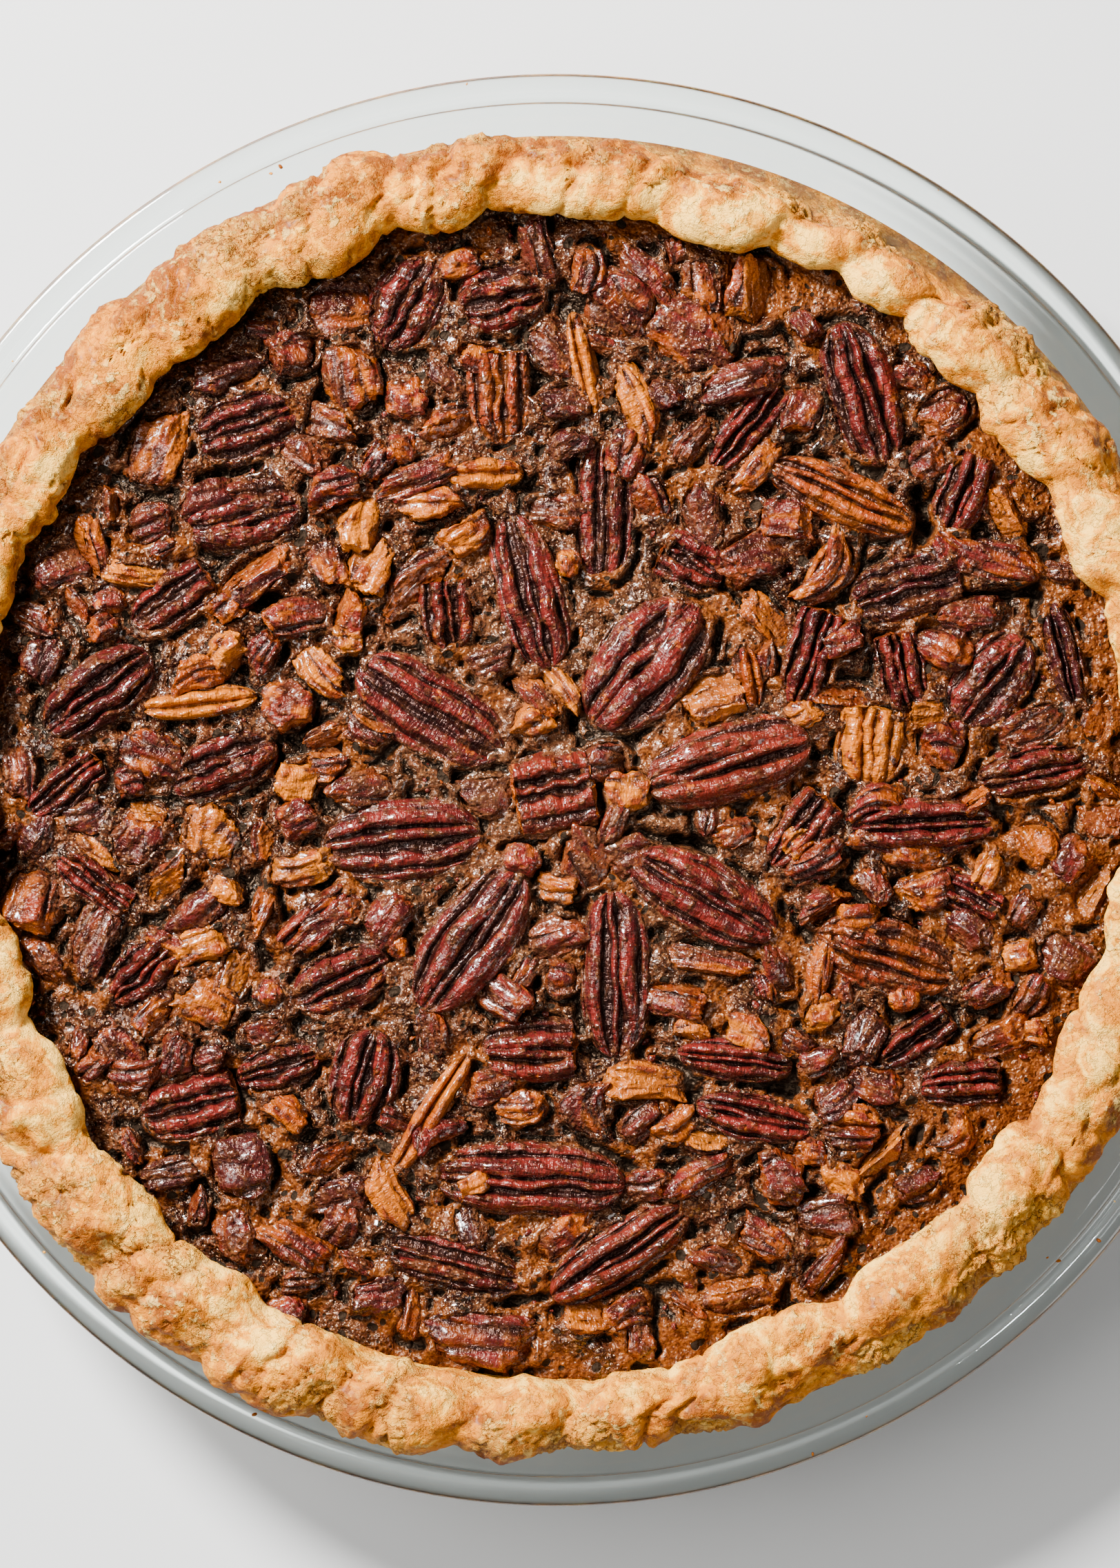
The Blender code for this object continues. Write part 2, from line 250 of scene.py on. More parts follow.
def closedFaces(rows, count):
    # quads between closed rows of points, count to a row, and a fan at each end to a last point
    here = np.arange(count)
    beside = (here + 1) % count
    row = np.arange(rows - 1)[:, None] * count
    quads = np.stack([row + here, row + beside, row + count + beside, row + count + here], -1)
    end, hub = (rows - 1) * count, np.full(count, rows * count)
    fans = [np.stack([hub, beside, here], -1), np.stack([here + end, beside + end, hub + 1], -1)]
    return quads.reshape(-1, 4).tolist() + np.vstack(fans).tolist()


def stow(piece, slot, *nodes):
    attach(piece, "root")
    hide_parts(*nodes)


def nodePoints(name):
    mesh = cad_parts[name].data
    flat = np.empty(len(mesh.vertices) * 3, np.float32)
    mesh.vertices.foreach_get("co", flat)
    return np.unique(flat.reshape(-1, 3).round(6), axis=0).astype(float) / mm


def newTree(name, **inputs):
    # a modifier's tree whose inputs are named; the graph keeps each input's wire and identifier
    tree = bpy.data.node_groups.new(name, "GeometryNodeTree")
    for way in ("INPUT", "OUTPUT"):
        tree.interface.new_socket("Geometry", in_out=way, socket_type="NodeSocketGeometry")
    graph = Graph(tree)
    graph.names = {label: tree.interface.new_socket(label, in_out="INPUT", socket_type=kind).identifier
                   for label, kind in inputs.items()}
    graph.given = graph.node("NodeGroupInput")
    return graph


def finishTree(graph, geometry, material):
    real = graph.node("GeometryNodeRealizeInstances", {}, {0: geometry})
    coated = graph.node("GeometryNodeSetMaterial", {}, {0: real[0], "Material": material})
    graph.node("NodeGroupOutput", {}, {0: coated[0]})


def grown(base, graph, name, **values):
    # what the tree makes of the base, as a plain mesh in a new object; the base is removed
    modifier = base.modifiers.new(name, "NODES")
    modifier.node_group = graph.tree
    for label, value in values.items():
        modifier[graph.names[label]] = value
    result = base.evaluated_get(bpy.context.evaluated_depsgraph_get())
    mesh = bpy.data.meshes.new_from_object(result)
    base.modifiers.remove(modifier)
    bpy.data.objects.remove(base)
    mesh.name = name
    return inScene(name, mesh)


# colours as a screen shows them, for each finish
foamColours = {"syrup": (30, 9, 6), "froth": (74, 35, 18), "pale": (94, 54, 29), "gaps": (22, 6, 4),
               "middle": (108, 68, 42), "light": (150, 94, 50), "pits": (28, 10, 7), "bubbles": (20, 8, 6)}
# the darkest colours, for grooves and clefts, are painted shade
skinColours = {
    "brown": (54, 12, 13), "red": (106, 28, 23), "streaks": (34, 10, 10), "specks": (132, 56, 30),
    "roast": (104, 34, 10), "orange": (164, 70, 14), "burnt": (34, 14, 16), "rubbed": (172, 82, 16),
    "grooves": (13, 5, 5), "amber": (130, 46, 0), "gold": (168, 82, 0), "stains": (90, 22, 2),
    "bright": (198, 108, 0), "clefts": (70, 30, 12), "shine": (255, 200, 180)}
# the two darkest are painted shade, in pinholes and in hollows
fillingColours = {"warm": (66, 24, 5), "ginger": (124, 62, 14), "holes": (6, 2, 1), "deep": (8, 3, 2),
                  "shine": (255, 210, 170)}
# the colours for creases and cracks are painted shade
crustColours = {
    "cream": (255, 194, 80), "golden": (230, 146, 8), "toasted": (198, 114, 0), "brown": (130, 64, 2),
    "flecks": (255, 218, 120), "specks": (150, 76, 8), "flakes": (255, 190, 72), "dark": (180, 94, 4),
    "light": (255, 204, 104), "creases": (150, 74, 12), "cracks": (116, 54, 10)}


def foam(g, place):
    # baked filling, a froth of tiny bubbles over brown syrup: its colour, with painted shade in low blotches
    # and bubble hollows, its relief and its grain
    c = foamColours
    clouds, blotches = g.noise(place, 6.5, 4, 0.62), g.noise(place, 2.1, 4, 0.68, 0.5)
    grain = g.noise(place, 0.75, 3, 0.7)
    bubbles, pores = g.cells(place, 1.1), g.cells(place, 0.6)
    away = g.node("ShaderNodeVectorMath", {"operation": "LENGTH"}, {0: place})["Value"]
    middle = away.rise(66.0, 26.0)
    body = g.layers(
        g.blend(clouds.rise(0.42, 0.58), c["syrup"], c["froth"]),
        # near black blotches where the froth's relief is low are painted shade
        (blotches.rise(0.48, 0.66) * 0.8, c["pale"]), (blotches.rise(0.46, 0.34) * 0.9, c["gaps"]),
        (middle * 0.35, c["middle"]),
        (grain.rise(0.54, 0.68) * 0.6, c["light"]), (grain.rise(0.48, 0.36) * 0.6, c["pits"]),
        # darker in the bubbles' hollows: painted shade
        (bubbles.rise(0.32, 0.08) * 0.6, c["bubbles"]))
    relief = pores.rise(0.0, 0.5) * 0.4 + bubbles.rise(0.05, 0.5) * 0.8 + blotches * 0.4
    relief = (relief + g.noise(place, 0.9, 1, 0.4) * 2.8) * (1 - middle * 0.35)
    return body, relief, grain


def pinholes(g, place):
    # burst bubbles, large and small, more of them in some places
    large = (g.cells(place, 3.3) - g.noise(place, 2.6, 0) + 0.33).rise(0.0, -0.05)
    small = (g.cells(place, 1.5) - g.noise(place, 1.9, 0) * 1.1 + 0.38).rise(0.0, -0.08)
    return large + small * (1 - large) * g.noise(place, 7.0, 2).rise(0.44, 0.54)


def makeSkin():
    # pecan skin, its broken flesh and the film of baked filling over it, with painted shade in the grooves
    c = skinColours
    material, g = newMaterial("pecanSkin", {
        "IOR": 1.5, "Specular IOR Level": 0.4, "Specular Tint": colour(*c["shine"]), "Coat Roughness": 0.14,
        "Coat IOR": 1.5})
    lie, place = g.mark("lie", "Vector"), g.objectPlace()
    tone, groove, flesh, film = (g.mark(name) for name in ("tone", "groove", "flesh", "film"))
    patches = g.noise(g.stretched(lie, 0.5, 1.0), 2.8, 3, 0.6)
    streaks = g.noise(g.stretched(lie, 0.3, 2.2), 0.9, 3, 0.62)
    grain = g.noise(lie, 0.65, 3, 0.7)
    rubbed = g.noise(g.stretched(lie, 1.0, 0.8), 3.0, 4, 0.72).rise(0.6, 0.7) * (1 - groove)
    skin = g.layers(
        g.blend(patches.rise(0.34, 0.68), c["brown"], c["red"]),
        (streaks.rise(0.5, 0.74) * 0.7, c["streaks"]), (grain.rise(0.55, 0.75) * 0.5, c["specks"]),
        (tone.rise(0.45, 1.0) * 0.8, g.blend(streaks, c["roast"], c["orange"])),
        (tone.rise(0.4, 0.0) * 0.75, c["burnt"]), (rubbed * 0.75, c["rubbed"]),
        # painted shade: near black in the grooves and cracks
        (groove.rise(0.1, 0.7) * 0.93, c["grooves"]))
    amber = g.layers(
        g.blend(patches.rise(0.35, 0.65), c["amber"], c["gold"]),
        (g.noise(lie, 1.7, 3).rise(0.52, 0.66) * 0.85, c["stains"]),
        # the flesh is darker in its clefts: painted shade
        (tone.rise(0.5, 1.0) * 0.6, c["bright"]), (groove.rise(0.2, 0.9) * 0.6, c["clefts"]))
    froth, frothRelief, frothGrain = foam(g, place)
    film = film * (1 - groove * 0.75) * (1 - flesh * 0.35)
    body = g.layers(skin, (flesh * tone.rise(0.05, 0.7), amber), (film, froth))
    wrinkles = g.noise(g.stretched(lie, 1.8, 0.55), 0.9, 2, 0.6)
    relief = wrinkles * 1.7 + g.noise(lie, 0.8, 1, 0.4) * 1.7 + streaks * 0.6
    relief = relief * (1 - film) + film * frothRelief * 1.2
    glints = (wrinkles * 0.35 + grain * 0.65).rise(0.49, 0.55) * (1 - groove * 0.9)
    glints = glints * (1 - film) + film * frothGrain.rise(0.5, 0.56)
    g.connect({"Base Color": body, "Normal": g.bump(relief, 0.26 * mm), "Coat Weight": glints,
               "Roughness": 0.1 + grain * 0.2})
    return material


def makeFilling():
    c = fillingColours
    material, g = newMaterial("caramelFilling", {
        "IOR": 1.5, "Specular IOR Level": 0.45, "Specular Tint": colour(*c["shine"]), "Coat Roughness": 0.16,
        "Coat IOR": 1.5})
    place, deep, warm = g.objectPlace(), g.mark("deep"), g.mark("warm")
    body, relief, grain = foam(g, place)
    # pinholes are sunk by the bump and painted near black as shade inside them
    holes = pinholes(g, place)
    # near black where the filling is deep in a gap, crevice or pinhole, or at the edge: painted shade
    body = g.layers(
        body, (warm * 0.75, g.blend(grain.rise(0.35, 0.65), c["warm"], c["ginger"])),
        (holes, c["holes"]), (deep.rise(0.2, 0.85), c["deep"]))
    relief = relief * (1 - warm * 0.4) - holes * 2.0
    glints = grain.rise(0.5, 0.56) * (1 - deep) * (1 - warm * 0.6) * (1 - holes)
    g.connect({"Base Color": body, "Normal": g.bump(relief, 0.32 * mm), "Coat Weight": glints,
               "Roughness": 0.1 + grain * 0.16 + deep * 0.3 + holes * 0.6 + warm * 0.1})
    return material


def makePastry():
    c = crustColours
    material, g = newMaterial("bakedPastry", {"IOR": 1.4, "Specular IOR Level": 0.14, "Coat Roughness": 0.3})
    place, toast, crease, flaky = g.objectPlace(), g.mark("toast"), g.mark("crease"), g.mark("flaky")
    broad, patches = g.noise(place, 11.0, 3, 0.6), g.noise(place, 5.2, 4, 0.6, 0.8)
    grain, fine = g.noise(place, 0.9, 4, 0.68), g.noise(place, 0.3, 3, 0.7)
    flecks = g.noise(place, 1.9, 4, 0.6).rise(0.53, 0.62) * g.noise(place, 9.0, 2).rise(0.42, 0.62)
    veins = g.noise(place, 3.4, 4, 0.62)  # a crack runs where they cross their middle value
    cracks = veins.rise(0.482, 0.496) * veins.rise(0.518, 0.504) * (flaky * 0.7 + 0.3)
    heat = toast + patches * 2.6 + broad * 1.3 + grain * 0.3 - 2.1
    body = g.layers(
        g.blend(heat.rise(-0.2, 0.15), c["cream"], c["golden"]),
        (heat.rise(0.08, 0.34), c["toasted"]), (heat.rise(0.42, 0.8), c["brown"]),
        (flecks * 0.5, c["flecks"]), (fine.rise(0.52, 0.7) * 0.25, c["specks"]), (flaky * 0.3, c["flakes"]),
        (grain.rise(0.5, 0.64) * (flaky * 0.4 + 0.12), c["dark"]),
        (grain.rise(0.48, 0.36) * (flaky * 0.3 + 0.15), c["light"]),
        # painted shade, darker in creases, between crumbs and in cracks
        (crease.rise(0.2, 1.0) * 0.65, c["creases"]), (cracks * 0.75, c["cracks"]))
    relief = grain * (flaky * 1.0 + 0.9) + fine * (flaky * 0.4 + 0.3) + patches * 1.5 + flecks * 0.4 - cracks
    g.connect({"Base Color": body, "Normal": g.bump(relief, 0.52 * mm), "Roughness": 0.5 + grain * 0.2,
               "Coat Weight": heat.rise(0.2, 0.8) * 0.08})
    return material


def makeGlass():
    return newMaterial("clearGlass", {"Base Color": colour(240, 249, 246), "Roughness": 0.0, "IOR": 1.5,
                                      "Transmission Weight": 1.0})[0]


pecanSkin, caramelFilling, bakedPastry, clearGlass = makeSkin(), makeFilling(), makePastry(), makeGlass()
print("materials made")


# the glass dish, an outline carried round a circle
dishSizes = {"steps": 256, "guide": 60.0, "cornerPoints": 6, "foot": 87.0, "bead": 1.5}


def roundedOutline(corners, steps):
    # corners are (radius, height, rounding); each becomes a short curve
    outline = [corners[0][:2]]
    for before, corner, after in zip(corners, corners[1:], corners[2:]):
        spot = Vector(corner[:2])
        sides = [Vector(other[:2]) - spot for other in (before, after)]
        reach = min([corner[2]] + [side.length * 0.49 for side in sides])
        start, end = (spot + side.normalized() * reach for side in sides)
        for share in np.linspace(0, 1, steps):
            bend = start * (1 - share) ** 2 + spot * 2 * share * (1 - share) + end * share**2
            outline.append((bend.x, bend.y))
    outline.append(corners[-1][:2])
    return outline


def makeTurning():
    g = newTree("turnedGlass", Guide="NodeSocketFloat", Steps="NodeSocketInt")
    circle = g.node("GeometryNodeCurvePrimitiveCircle", {}, {
        "Resolution": g.given["Steps"], "Radius": g.given["Guide"]})
    swept = g.node("GeometryNodeCurveToMesh", {}, {
        "Curve": circle["Curve"], "Profile Curve": g.given["Geometry"]})
    closed = g.node("GeometryNodeMergeByDistance", {}, {"Geometry": swept[0], "Distance": 0.02 * mm})
    smooth = g.node("GeometryNodeSetShadeSmooth", {}, {"Geometry": closed[0]})
    finishTree(g, smooth[0], clearGlass)
    return g


def makeDish():
    z = dishSizes
    rows = nodePoints("glass_dish")
    rows = rows[(abs(rows[:, 1]) < 0.01) & (rows[:, 0] > -0.01)][:, [0, 2]]
    rim, top = rows[:, 0].max(), rows[:, 1].max()
    floor = min(rows[rows[:, 1] > 1][:, 1])
    corners = [
        (0, 0, 0), (z["foot"], 0, 2.2), (92.6, 3.9, 5.0), (114.4, 28.3, 2.0),  # foot and outer wall
        (rim - 2.0, 28.5, 1.6), (rim, 29.6, 1.6), (rim, top - 0.4, 1.4), (rim - 1.6, top, 1.2),  # rim
        (rim - 3.0, top - 0.1, 0.7), (rim - 3.7, top - z["bead"], 0.6), (rim - 4.6, top - 1.3, 0.6),
        (rim - 5.2, top - 0.7, 0.8), (112.9, top - 0.9, 1.0),  # groove inside the bead, and flange
        (110.5, 30.3, 1.2), (89.0, 7.0, 5.0), (84.0, floor, 3.0), (0, floor, 0)]  # inner wall and floor
    outline = roundedOutline(corners, z["cornerPoints"])
    curve = bpy.data.curves.new("glassOutline", "CURVE")
    curve.dimensions = "3D"
    line = curve.splines.new("POLY")
    line.points.add(len(outline) - 1)
    for point, (radius, height) in zip(line.points, reversed(outline)):
        point.co = ((radius - z["guide"]) * mm, -height * mm, 0, 1)
    base = inScene("glassOutline", curve)
    dish = grown(base, makeTurning(), "glassDish", Guide=z["guide"] * mm, Steps=z["steps"])
    stow(dish, "clear_glass", "glass_dish")


makeDish()
print("dish turned")

# the pastry case and its rope
ropeSizes = {
    "steps": 1120, "around": 66, "core": (103.6, 38.6), "from": -52.0, "to": 236.0, "smooth": 0.8,
    "slant": 1.6, "wander": 1.5, "swell": 1.0, "creaseDepth": 0.95, "creaseWidth": 0.95,
    "lump": 1.1, "knob": 0.55, "grain": 0.2, "crumbly": 0.68, "crackDepth": 1.0, "pleat": 0.15,
}
caseSizes = {  # radius and height of corners out of sight: under the case, and where the filling lies
    "intoGlass": 0.2, "outer": ((109.6, 29.9), (105.0, 25.1), (91.0, 9.4)), "corner": (88.9, 7.2),
    "floor": (84.0, 4.8), "middle": 30.0, "inner": ((98.6, 33.0), (98.6, 24.6), (83.4, 8.9), (30.0, 8.9)),
}
softenings = (1, 3, 6, 9, 10, 9, 6, 3, 1)  # weights of the soft average round the rope


def ringBlur(values, width):
    # a soft average round the ring
    reach = int(width * 3)
    weights = np.exp(-0.5 * (np.arange(-reach, reach + 1) / width) ** 2)
    shifts = range(-reach, reach + 1)
    return sum(w * np.roll(values, shift, 0) for w, shift in zip(weights / weights.sum(), shifts))


def findCreases():
    # the rope's crown dips at each crease, at the solid's own stations
    points = nodePoints("pastry_case")
    radius = np.hypot(points[:, 0], points[:, 1])
    crown = points[(points[:, 2] > 40.3) & (radius > 98) & (radius < 108)]
    angle = np.degrees(np.arctan2(crown[:, 1], crown[:, 0])) % 360
    creases = []
    for here, height in sorted(zip(angle, crown[:, 2])):
        near = [crown[k, 2] for k in range(len(crown)) if abs((angle[k] - here + 180) % 360 - 180) < 3.2]
        if height <= min(near) and height < max(near) - 1.2:
            creases.append(here)
    return np.array(creases)


def castRope():
    # how far the solid's rope reaches from its core, round the ring and round the rope
    z = ropeSizes
    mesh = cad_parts["pastry_case"].data
    corners = [tuple(polygon.vertices) for polygon in mesh.polygons]
    tree = BVHTree.FromPolygons([v.co / mm for v in mesh.vertices], corners)
    turns = np.radians(np.linspace(z["from"], z["to"], z["around"]))
    reach = np.zeros((z["steps"], z["around"]))
    for i in range(z["steps"]):
        angle = math.tau * i / z["steps"]
        out = Vector((math.cos(angle), math.sin(angle), 0))
        core = out * z["core"][0] + Vector((0, 0, z["core"][1]))
        for j, turn in enumerate(turns):
            way = out * math.cos(turn) + Vector((0, 0, math.sin(turn)))
            reach[i, j] = tree.ray_cast(core, way)[3] or 6.0
    reach = ringBlur(reach, z["smooth"] * z["steps"] / 360)
    side = len(softenings) // 2
    padded = np.pad(reach, ((0, 0), (side, side)), mode="edge")
    return sum(w * padded[:, k:k + z["around"]] for k, w in enumerate(softenings)) / sum(softenings), turns


def makeCase():
    z = ropeSizes
    steps, around = z["steps"], z["around"]
    reach, turns = castRope()
    angle, turn = np.meshgrid(math.tau * np.arange(steps) / steps, turns, indexing="ij")
    coreRadius, coreHeight = z["core"]

    def placed(reach):
        radius = coreRadius + reach * np.cos(turn)
        return columns(radius * np.cos(angle), radius * np.sin(angle), coreHeight + reach * np.sin(turn))

    spots = placed(reach)
    outer, inner = rise(np.cos(turn), -0.5, 0.9), rise(-np.cos(turn), -0.2, 0.9)

    # each crimp swells between two creases, which slant across the rope and wander
    creases = findCreases()
    along = np.degrees(angle) + np.cos(turn) * z["slant"] + noiseAt(spots, 6.0, 2, 3) * z["wander"]
    ring = np.concatenate([creases - 360, creases, creases + 360])
    phase = np.interp(along, ring, np.arange(len(ring)))
    nearest = np.round(phase).astype(int)
    away = (along - ring[nearest]) * math.radians(1) * coreRadius
    depths = np.random.default_rng(5).uniform(0.25, 1.0, len(creases))[nearest % len(creases)]
    crease = dent(away, z["creaseWidth"] * (1 + 0.5 * outer)) * depths
    swell = (1 - np.abs(2 * (phase % 1) - 1) ** 2.8) * (0.4 + 0.6 * depths)
    lump, knob = noiseAt(spots, 9.0, 2, 5), noiseAt(spots, 3.4, 2, 6)

    # flaky places break into grains, and cracks run between them
    flaky = rise(noiseAt(spots, 13.0, 2, 14) + 0.35 * outer - 0.1, 0.12, 0.42)
    borders = grainsAt(spots + knob[..., None] * 0.7, 2.0, 4)
    crumbly = rise(borders, 0.42, 0.0) * flaky
    crack = dent(noiseAt(spots, 7.5, 3, 8), 0.03) * rise(noiseAt(spots, 12.0, 2, 9), 0.0, 0.3)
    pleats = noiseAt(columns(np.degrees(angle) * 1.3, turn * 1.3, 0 * angle), 1.5, 2, 13) * inner
    calm = 1 - 0.65 * inner
    change = swell * z["swell"] - z["swell"] * 0.7 - crease * z["creaseDepth"]
    change = change * (1 - 0.4 * inner) + lump * z["lump"] + knob * z["knob"] * calm
    change = change + pleats * z["pleat"] - crumbly * z["crumbly"] * calm - crack * z["crackDepth"]
    change = change + noiseAt(spots, 1.3, 2, 7) * z["grain"] * calm
    edge = np.minimum(np.arange(around), np.arange(around)[::-1])
    spots = placed(reach + change * rise(edge, -1, 6))

    # more toasted outside, on the swellings and round flaky places, and on one side of the pie
    heat = 0.14 + 0.34 * outer + 0.06 * swell + 0.04 * rise(spots[..., 2], 38, 43) - 0.16 * inner
    heat = heat + 0.36 * noiseAt(spots, 12.0, 3, 15) - 0.1 * flaky + 0.9 * flaky * (1 - flaky)
    heat = heat + 0.3 * dent(np.degrees(angle) - 130, 35)
    # marks creases, crumb borders and cracks for painted shade
    crease = np.clip(crease * 0.8 + crumbly * 0.6 + crack, 0, 1)

    c = caseSizes
    into = c["intoGlass"]
    under = [(radius + into, height) for radius, height in c["outer"]]
    under += [(c["corner"][0] + into, c["corner"][1] - into)]
    under += [(radius, c["floor"][1] - into) for radius in (c["floor"][0], c["middle"])]

    def rows(places):
        return [columns(r * np.cos(angle[:, 0]), r * np.sin(angle[:, 0]), height) for r, height in places]

    hubs = [[[0, 0, c["floor"][1] - into], [0, 0, c["inner"][-1][1]]]]
    points = np.vstack(rows(reversed(under)) + list(spots.swapaxes(0, 1)) + rows(c["inner"]) + hubs)
    faces = closedFaces(len(points) // steps, steps)

    def whole(values, below, inside):
        return np.concatenate([np.full(len(under) * steps, below), values.T.ravel(),
                               np.full(len(c["inner"]) * steps, inside), [below, inside]])
    piece = newPiece("pastryCase", points, faces, bakedPastry, toast=whole(np.clip(heat, 0, 1), 0.6, 0.3),
                     crease=whole(crease, 0.0, 0.0), flaky=whole(flaky, 0.2, 0.2))
    stow(piece, "baked_pastry", "pastry_case")


makeCase()
print("rope laid")


# the solids' pecans, each on its own node's place and size
pecanForms = {  # which ends are broken, and the bottom as a share of the height
    "half": {"broken": (False, False), "under": 1 / 3},
    "glazed": {"broken": (False, False), "under": 1 / 3},
    "end": {"broken": (False, True), "under": 1 / 3},
    "chunk": {"broken": (True, True), "under": 1 / 3},
    "sliver": {"broken": (False, False), "under": 0.375},
}
backRidges = (  # centre and reach across the nut from -1 to 1, and height as a share of the dome
    (-0.89, 0.2, 0.72), (-0.46, 0.3, 0.98), (0.0, 0.16, 0.9), (0.46, 0.3, 0.98), (0.89, 0.2, 0.72))
sliverRidges = ((-0.45, 0.5, 0.9), (0.5, 0.45, 0.85))
pecanSizes = {"along": 56, "top": 78, "under": 8, "body": 0.44, "wrinkle": 0.34, "fine": 0.16, "crack": 0.35,
              "tilt": 3.5, "roll": 0.24, "breakRings": (0.94, 0.74, 0.45, 0.18)}
usualLooks = {  # tone from 0, dark, to 1, orange; bare flesh; how far filling covers it
    "half": (0.44, 0.02, 0.08), "glazed": (0.38, 0.04, 0.3), "end": (0.46, 0.1, 0.14),
    "chunk": (0.44, 0.0, 0.08), "sliver": (0.75, 1.0, 0.06),
}
ownLooks = {
    "pecan_end_04": (0.8, 0.9, 0.05), "pecan_half_14": (0.95, 0.3, 0.15), "pecan_half_18": (0.75, 0.3, 0.4),
    "pecan_end_02": (0.15, 0.0, 0.4), "pecan_end_10": (0.6, 0.35, 0.3), "pecan_half_15": (0.3, 0.0, 0.3),
    "pecan_glazed_12": (0.1, 0.0, 0.15), "pecan_sliver_04": (0.45, 0.1, 0.2),
    "pecan_sliver_06": (0.5, 0.8, 0.1),
}


def readPecan(name):
    # the long axis, from the outline's spread; the tip of a broken one faces backwards
    points = nodePoints(name)
    flat = points[:, :2]
    kind = name.split("_")[1]
    angles = np.radians(np.arange(0, 180, 0.5))
    reach = np.ptp(flat @ np.stack([np.cos(angles), np.sin(angles)]), axis=0)
    across = np.ptp(flat @ np.stack([-np.sin(angles), np.cos(angles)]), axis=0)
    turn = angles[np.argmin(across + (reach if kind == "chunk" else 0))]
    if kind == "end":
        u = flat @ (math.cos(turn), math.sin(turn))
        turn += math.pi * (np.sum(u < u.min() + 0.2) > np.sum(u > u.max() - 0.2))
    along = np.array([math.cos(turn), math.sin(turn)])
    side = np.array([-along[1], along[0]])
    u, v = flat @ along, flat @ side
    centre = along * (u.max() + u.min()) / 2 + side * (v.max() + v.min()) / 2
    low, high = points[:, 2].min(), points[:, 2].max()
    return {"name": name, "kind": kind, "x": centre[0], "y": centre[1], "turn": turn, "length": np.ptp(u),
            "width": np.ptp(v), "base": low + (high - low) * pecanForms[kind]["under"], "top": high}


def turnedTo(points, item):
    c, s = math.cos(item["turn"]), math.sin(item["turn"])
    x, y = points[..., 0], points[..., 1]
    return columns(x * c - y * s + item["x"], x * s + y * c + item["y"], points[..., 2])


def ringTurns(top, under):
    # angles round a nut from one side, over its back and beneath it, with most of the points on top
    beneath = np.linspace(math.pi, math.tau, under + 2)[1:-1]
    return np.concatenate([np.linspace(0, math.pi, top), beneath])


def crossSection(across, along, seed, roll, ridges):
    # height over the ridged back, as a share of the dome, and how deep in a groove, for painted shade there
    top = pecanSizes["body"] * np.sqrt(np.clip(1 - across * across, 0, 1))
    for k, (centre, reach, level) in enumerate(ridges):
        wander = noiseAt(columns(along * 1.9, k * 5.0, seed * 3.1), 1.0, 2, 21) * 1.25
        wide = noiseAt(columns(along * 2.4, k * 7.0, seed * 1.7), 1.0, 2, 22)
        x = (across - centre - roll - 0.1 * wander) / (reach * (1 + 0.2 * wide))
        top = np.maximum(top, level * (1 + 0.14 * wander) * np.clip(1 - x * x, 0, 1) ** 0.4)
    groove = rise(0.94 - top, 0.12, 0.42) * rise(0.84 - np.abs(across), 0, 0.15)
    return top * (1 - 0.22 * across * across), groove


